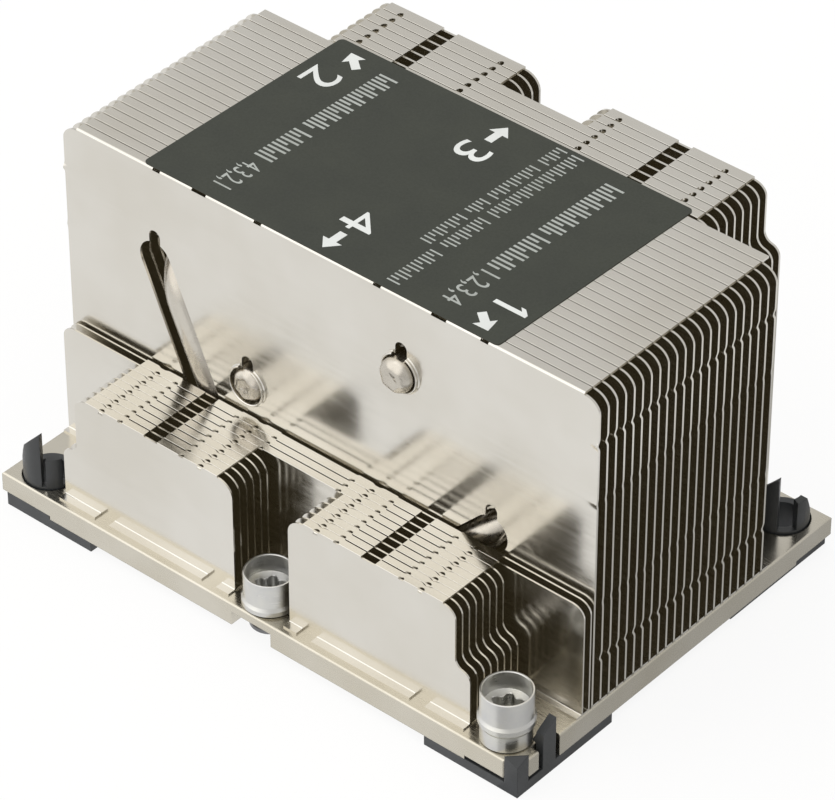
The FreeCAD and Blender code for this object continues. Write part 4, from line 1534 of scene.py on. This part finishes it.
    def build(self) -> None:
        """Film and print, at the height of the label's solid."""
        low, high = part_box("top_label")
        top = high.z / MM
        film = self.sheet(low.z / MM, top - self.ink_height)
        finish_piece(film.make("label_film"), self.film, "top_label")
        self.print_flat("label_print", self.large_print(), top, self.ink)
        self.print_flat("label_ticks", self.small_print(), top, self.fine_ink)


# ---------------------------------------------------------------- studio
@dataclass(frozen=True)
class Studio:
    """White table, soft light and the camera.

    The levels are brightnesses where 1 is plain white. The table's spans are places in X, in
    metres, because the shader reads them: where the paper grows darker to the right, and the
    middle and half width of the darker strip beside the plate.
    """

    azimuth: float = 40.6882
    elevation: float = 38.1944
    distance: float = 773.5976
    target: Place = (3.06, -1.81, 27.3)
    lens: float = 213.03
    sensor: float = 36.0
    shift: Span = (-0.0049, -0.0054)
    clip: Span = (0.05, 20.0)
    floor_half: float = 4000.0
    diffuser: Place = (-0.51, -0.62, 0.6)
    diffuser_span: Span = (0.3, 0.9)
    world_levels: Span = (0.75, 1.72)
    floor_span: Span = (0.05, 0.3)
    floor_levels: Span = (1.0, 0.6)
    shade_place: Span = (0.07, 0.02)
    shade_levels: Span = (1.0, 0.5)
    glow_share: float = 0.88
    lamp_aim: Place = (0, 0, 30)

    def camera(self) -> None:
        """Camera on a line from the target, turned by azimuth and lifted by elevation."""
        a, e = math.radians(self.azimuth), math.radians(self.elevation)
        back = Vector((math.sin(a) * math.cos(e), -math.cos(a) * math.cos(e), math.sin(e)))
        data = bpy.data.cameras.new("camera")
        data.lens = self.lens
        data.sensor_width = self.sensor
        data.shift_x, data.shift_y = self.shift
        data.clip_start, data.clip_end = self.clip
        holder = bpy.data.objects.new("camera", data)
        holder.location = (Vector(self.target) + back * self.distance) * MM
        holder.rotation_mode = "QUATERNION"
        holder.rotation_quaternion = (-back).to_track_quat("-Z", "Y")
        bpy.context.collection.objects.link(holder)
        bpy.context.scene.camera = holder

    def paper(self) -> bpy.types.Material:
        """White table paper, lit by the room and by a glow of its own.

        The camera sees the glow as plain white. Mirrored and refracted rays see it darker to the
        right and in a strip beside the plate, and only soft light sees the plain paper. The glow
        is the larger of the camera's share and the two shades' product.

        Returns:
            The material.
        """
        material = bpy.data.materials.new("White table paper")
        material.use_nodes = True
        tree = material.node_tree
        sheet = tree.nodes["Principled BSDF"]
        sheet.inputs["Base Color"].default_value = linear("#f4f3f1")
        sheet.inputs["Roughness"].default_value = 0.9
        math_node = "ShaderNodeMath"
        rays = add_node(tree, "ShaderNodeLightPath").outputs
        place = add_node(tree, "ShaderNodeTexCoord").outputs["Object"]
        across = add_node(tree, "ShaderNodeSeparateXYZ", None, {"Vector": place}).outputs["X"]
        falloff = add_node(tree, "ShaderNodeMapRange", ranges(self.floor_span, self.floor_levels),
                           {"Value": across}).outputs[0]
        beside = add_node(tree, math_node, {"operation": "COMPARE", 1: self.shade_place[0],
                                            2: self.shade_place[1]}, {0: across}).outputs[0]
        shade = add_node(tree, "ShaderNodeMapRange", ranges((0, 1), self.shade_levels),
                         {"Value": beside}).outputs[0]
        both = add_node(tree, math_node, {"operation": "MULTIPLY"}, {0: falloff, 1: shade})
        seen = rays["Is Camera Ray"]
        level = add_node(tree, math_node, {"operation": "MAXIMUM"}, {0: both.outputs[0], 1: seen})
        glow = add_node(tree, "ShaderNodeEmission", {"Color": (1, 1, 1, 1)},
                        {"Strength": level.outputs[0]})
        for kind in ("Is Glossy Ray", "Is Transmission Ray"):
            seen = add_node(tree, math_node, {"operation": "MAXIMUM"},
                            {0: seen, 1: rays[kind]}).outputs[0]
        share = add_node(tree, math_node, {"operation": "MULTIPLY", 1: self.glow_share}, {0: seen})
        mix = add_node(tree, "ShaderNodeMixShader", None,
                       {"Fac": share.outputs[0], 1: sheet.outputs[0], 2: glow.outputs[0]})
        tree.links.new(mix.outputs[0], tree.nodes["Material Output"].inputs["Surface"])
        return material

    def floor(self, height: float) -> None:
        """Table top under the heatsink, as a piece of the stage.

        Args:
            height: the heatsink's lowest point.
        """
        half = self.floor_half
        mesh = bpy.data.meshes.new("table_top")
        corners = [(-half, -half), (half, -half), (half, half), (-half, half)]
        mesh.from_pydata([(x * MM, y * MM, height * MM) for x, y in corners], [], [(0, 1, 2, 3)])
        top = bpy.data.objects.new("table_top", mesh)
        bpy.context.collection.objects.link(top)
        mesh.materials.append(self.paper())
        top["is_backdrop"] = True

    def world(self) -> None:
        """Pale surround that mirrors as a studio, and shows plain white to the camera.

        Its level rises with the dot product of the direction and the diffuser's, which stands
        high at the front left.
        """
        world = bpy.data.worlds.new("studio")
        bpy.context.scene.world = world
        world.use_nodes = True
        tree = world.node_tree
        tree.nodes.clear()
        way = add_node(tree, "ShaderNodeTexCoord").outputs["Generated"]
        toward = add_node(tree, "ShaderNodeVectorMath",
                          {"operation": "DOT_PRODUCT", 1: self.diffuser}, {0: way})
        strength = add_node(tree, "ShaderNodeMapRange",
                            ranges(self.diffuser_span, self.world_levels),
                            {"Value": toward.outputs["Value"]}).outputs[0]
        light = add_node(tree, "ShaderNodeBackground", {"Color": linear("#fdfcfa")},
                         {"Strength": strength})
        plain = add_node(tree, "ShaderNodeBackground", {"Color": (1, 1, 1, 1), "Strength": 1.0})
        rays = add_node(tree, "ShaderNodeLightPath")
        mix = add_node(tree, "ShaderNodeMixShader", None,
                       {"Fac": rays.outputs["Is Camera Ray"], 1: light.outputs[0],
                        2: plain.outputs[0]})
        add_node(tree, "ShaderNodeOutputWorld", None, {"Surface": mix.outputs[0]})

    def lamp(self, name: str, place: Place, size: float, watts: float) -> None:
        """Square soft box that faces the heatsink.

        Args:
            name: the lamp's name.
            place: its middle.
            size: length of its sides.
            watts: its power.
        """
        data = bpy.data.lights.new(name, "AREA")
        data.shape = "SQUARE"
        data.size = size * MM
        data.energy = watts
        holder = bpy.data.objects.new(name, data)
        holder.location = Vector(place) * MM
        aim = (Vector(self.lamp_aim) - Vector(place)).to_track_quat("-Z", "Y")
        holder.rotation_mode = "QUATERNION"
        holder.rotation_quaternion = aim
        bpy.context.collection.objects.link(holder)

    def build(self, floor_height: float) -> None:
        """Set up the whole studio.

        Args:
            floor_height: the heatsink's lowest point.
        """
        bpy.context.scene.view_settings.view_transform = "Standard"
        self.camera()
        self.floor(floor_height)
        self.world()
        self.lamp("soft_box_overhead", (0, 0, 1500), 1400, 2.0)
        LOG.info("studio: table at %.2f mm", floor_height)


def main() -> None:
    """Dress every piece, in the order in which it is put together."""
    logging.basicConfig(level=logging.INFO, format="%(name)s: %(message)s")
    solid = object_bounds()
    # A cutter's faint lines under nickel, with edges broken by tumbling.
    plate_metal = PlatedMetal(
        "Nickel-plated milled aluminium", "#cdc8bc", "#c3bdae", roughness=(0.2, 0.34),
        patch_mm=18.0, mark_mm=0.35, mark_depth=0.003, edge_mm=0.25, grain=Grain.ALONG_X).build()
    # Smooth rolled sheet that mirrors softly, with a grain that runs along the fins, and a faint
    # painted olive glow that stands in for light bounced in the gaps between them.
    fin_metal = PlatedMetal(
        "Nickel-plated rolled aluminium sheet", "#d8d5ce", "#d1cdc4", roughness=(0.13, 0.24),
        patch_mm=22.0, mark_mm=0.6, mark_depth=0.0012, grain=Grain.ALONG_X,
        painted_bounce_glow="#120f08").build()
    # Drawn tube: fine lines along its length.
    pipe_metal = PlatedMetal(
        "Nickel-plated drawn copper tube", "#c9c4ba", "#b5aea3", roughness=(0.2, 0.34),
        patch_mm=9.0, mark_mm=0.5, mark_depth=0.003, grain=Grain.ALONG_Y).build()
    # A lathe's fine rings under bright zinc.
    nut_metal = PlatedMetal(
        "Zinc-plated turned steel", "#d3d2cc", "#c6c6c6", roughness=(0.26, 0.4), patch_mm=5.0,
        mark_mm=0.25, mark_depth=0.003, grain=Grain.ROUND_Z).build()
    # Dull grey phosphate skin.
    ring_metal = PlatedMetal(
        "Phosphated spring steel", "#7c7c7e", "#6a6a6c", roughness=(0.3, 0.45), patch_mm=4.0,
        mark_mm=0.3, mark_depth=0.004).build()
    # Soft sheen, with less mirror than bare plastic.
    film = MouldedPlastic(
        "Satin polyester label film", "#32352e", "#363931", roughness=(0.45, 0.6), patch_mm=6.0,
        mark_mm=0.4, mark_depth=0.003, specular=0.3).build()
    # Flat and slightly rough, as ink pressed through a screen.
    ink = MouldedPlastic(
        "White screen-printed ink", "#dcdfdd", "#d2d4d2", roughness=(0.45, 0.6), patch_mm=6.0,
        mark_mm=0.3, mark_depth=0.002).build()
    # The same ink in strokes so fine that the film shows through.
    fine_ink = MouldedPlastic(
        "Thin white screen-printed ink", "#a8aca8", "#9b9f9a", roughness=(0.45, 0.6),
        patch_mm=6.0, mark_mm=0.3, mark_depth=0.002).build()
    # Spark-eroded mould: matt black grit with a pale bloom.
    plastic = MouldedPlastic(
        "Black glass-filled polyamide", "#2b2d2e", "#35373a", roughness=(0.3, 0.5), patch_mm=6.0,
        mark_mm=0.25, mark_depth=0.006, edge_mm=0.22).build()
    dress("base_plate", plate_metal)
    dress("processor_carrier", plastic)
    layout = PipeLayout()
    FinStacks(fin_metal, layout).build()
    HeatPipes(pipe_metal, fin_metal, layout).build()
    CaptiveNuts(nut_metal, ring_metal).build()
    Label(film, ink, fine_ink).build()
    Studio().build(solid[0].z / MM)


if __name__ == "__main__":
    main()
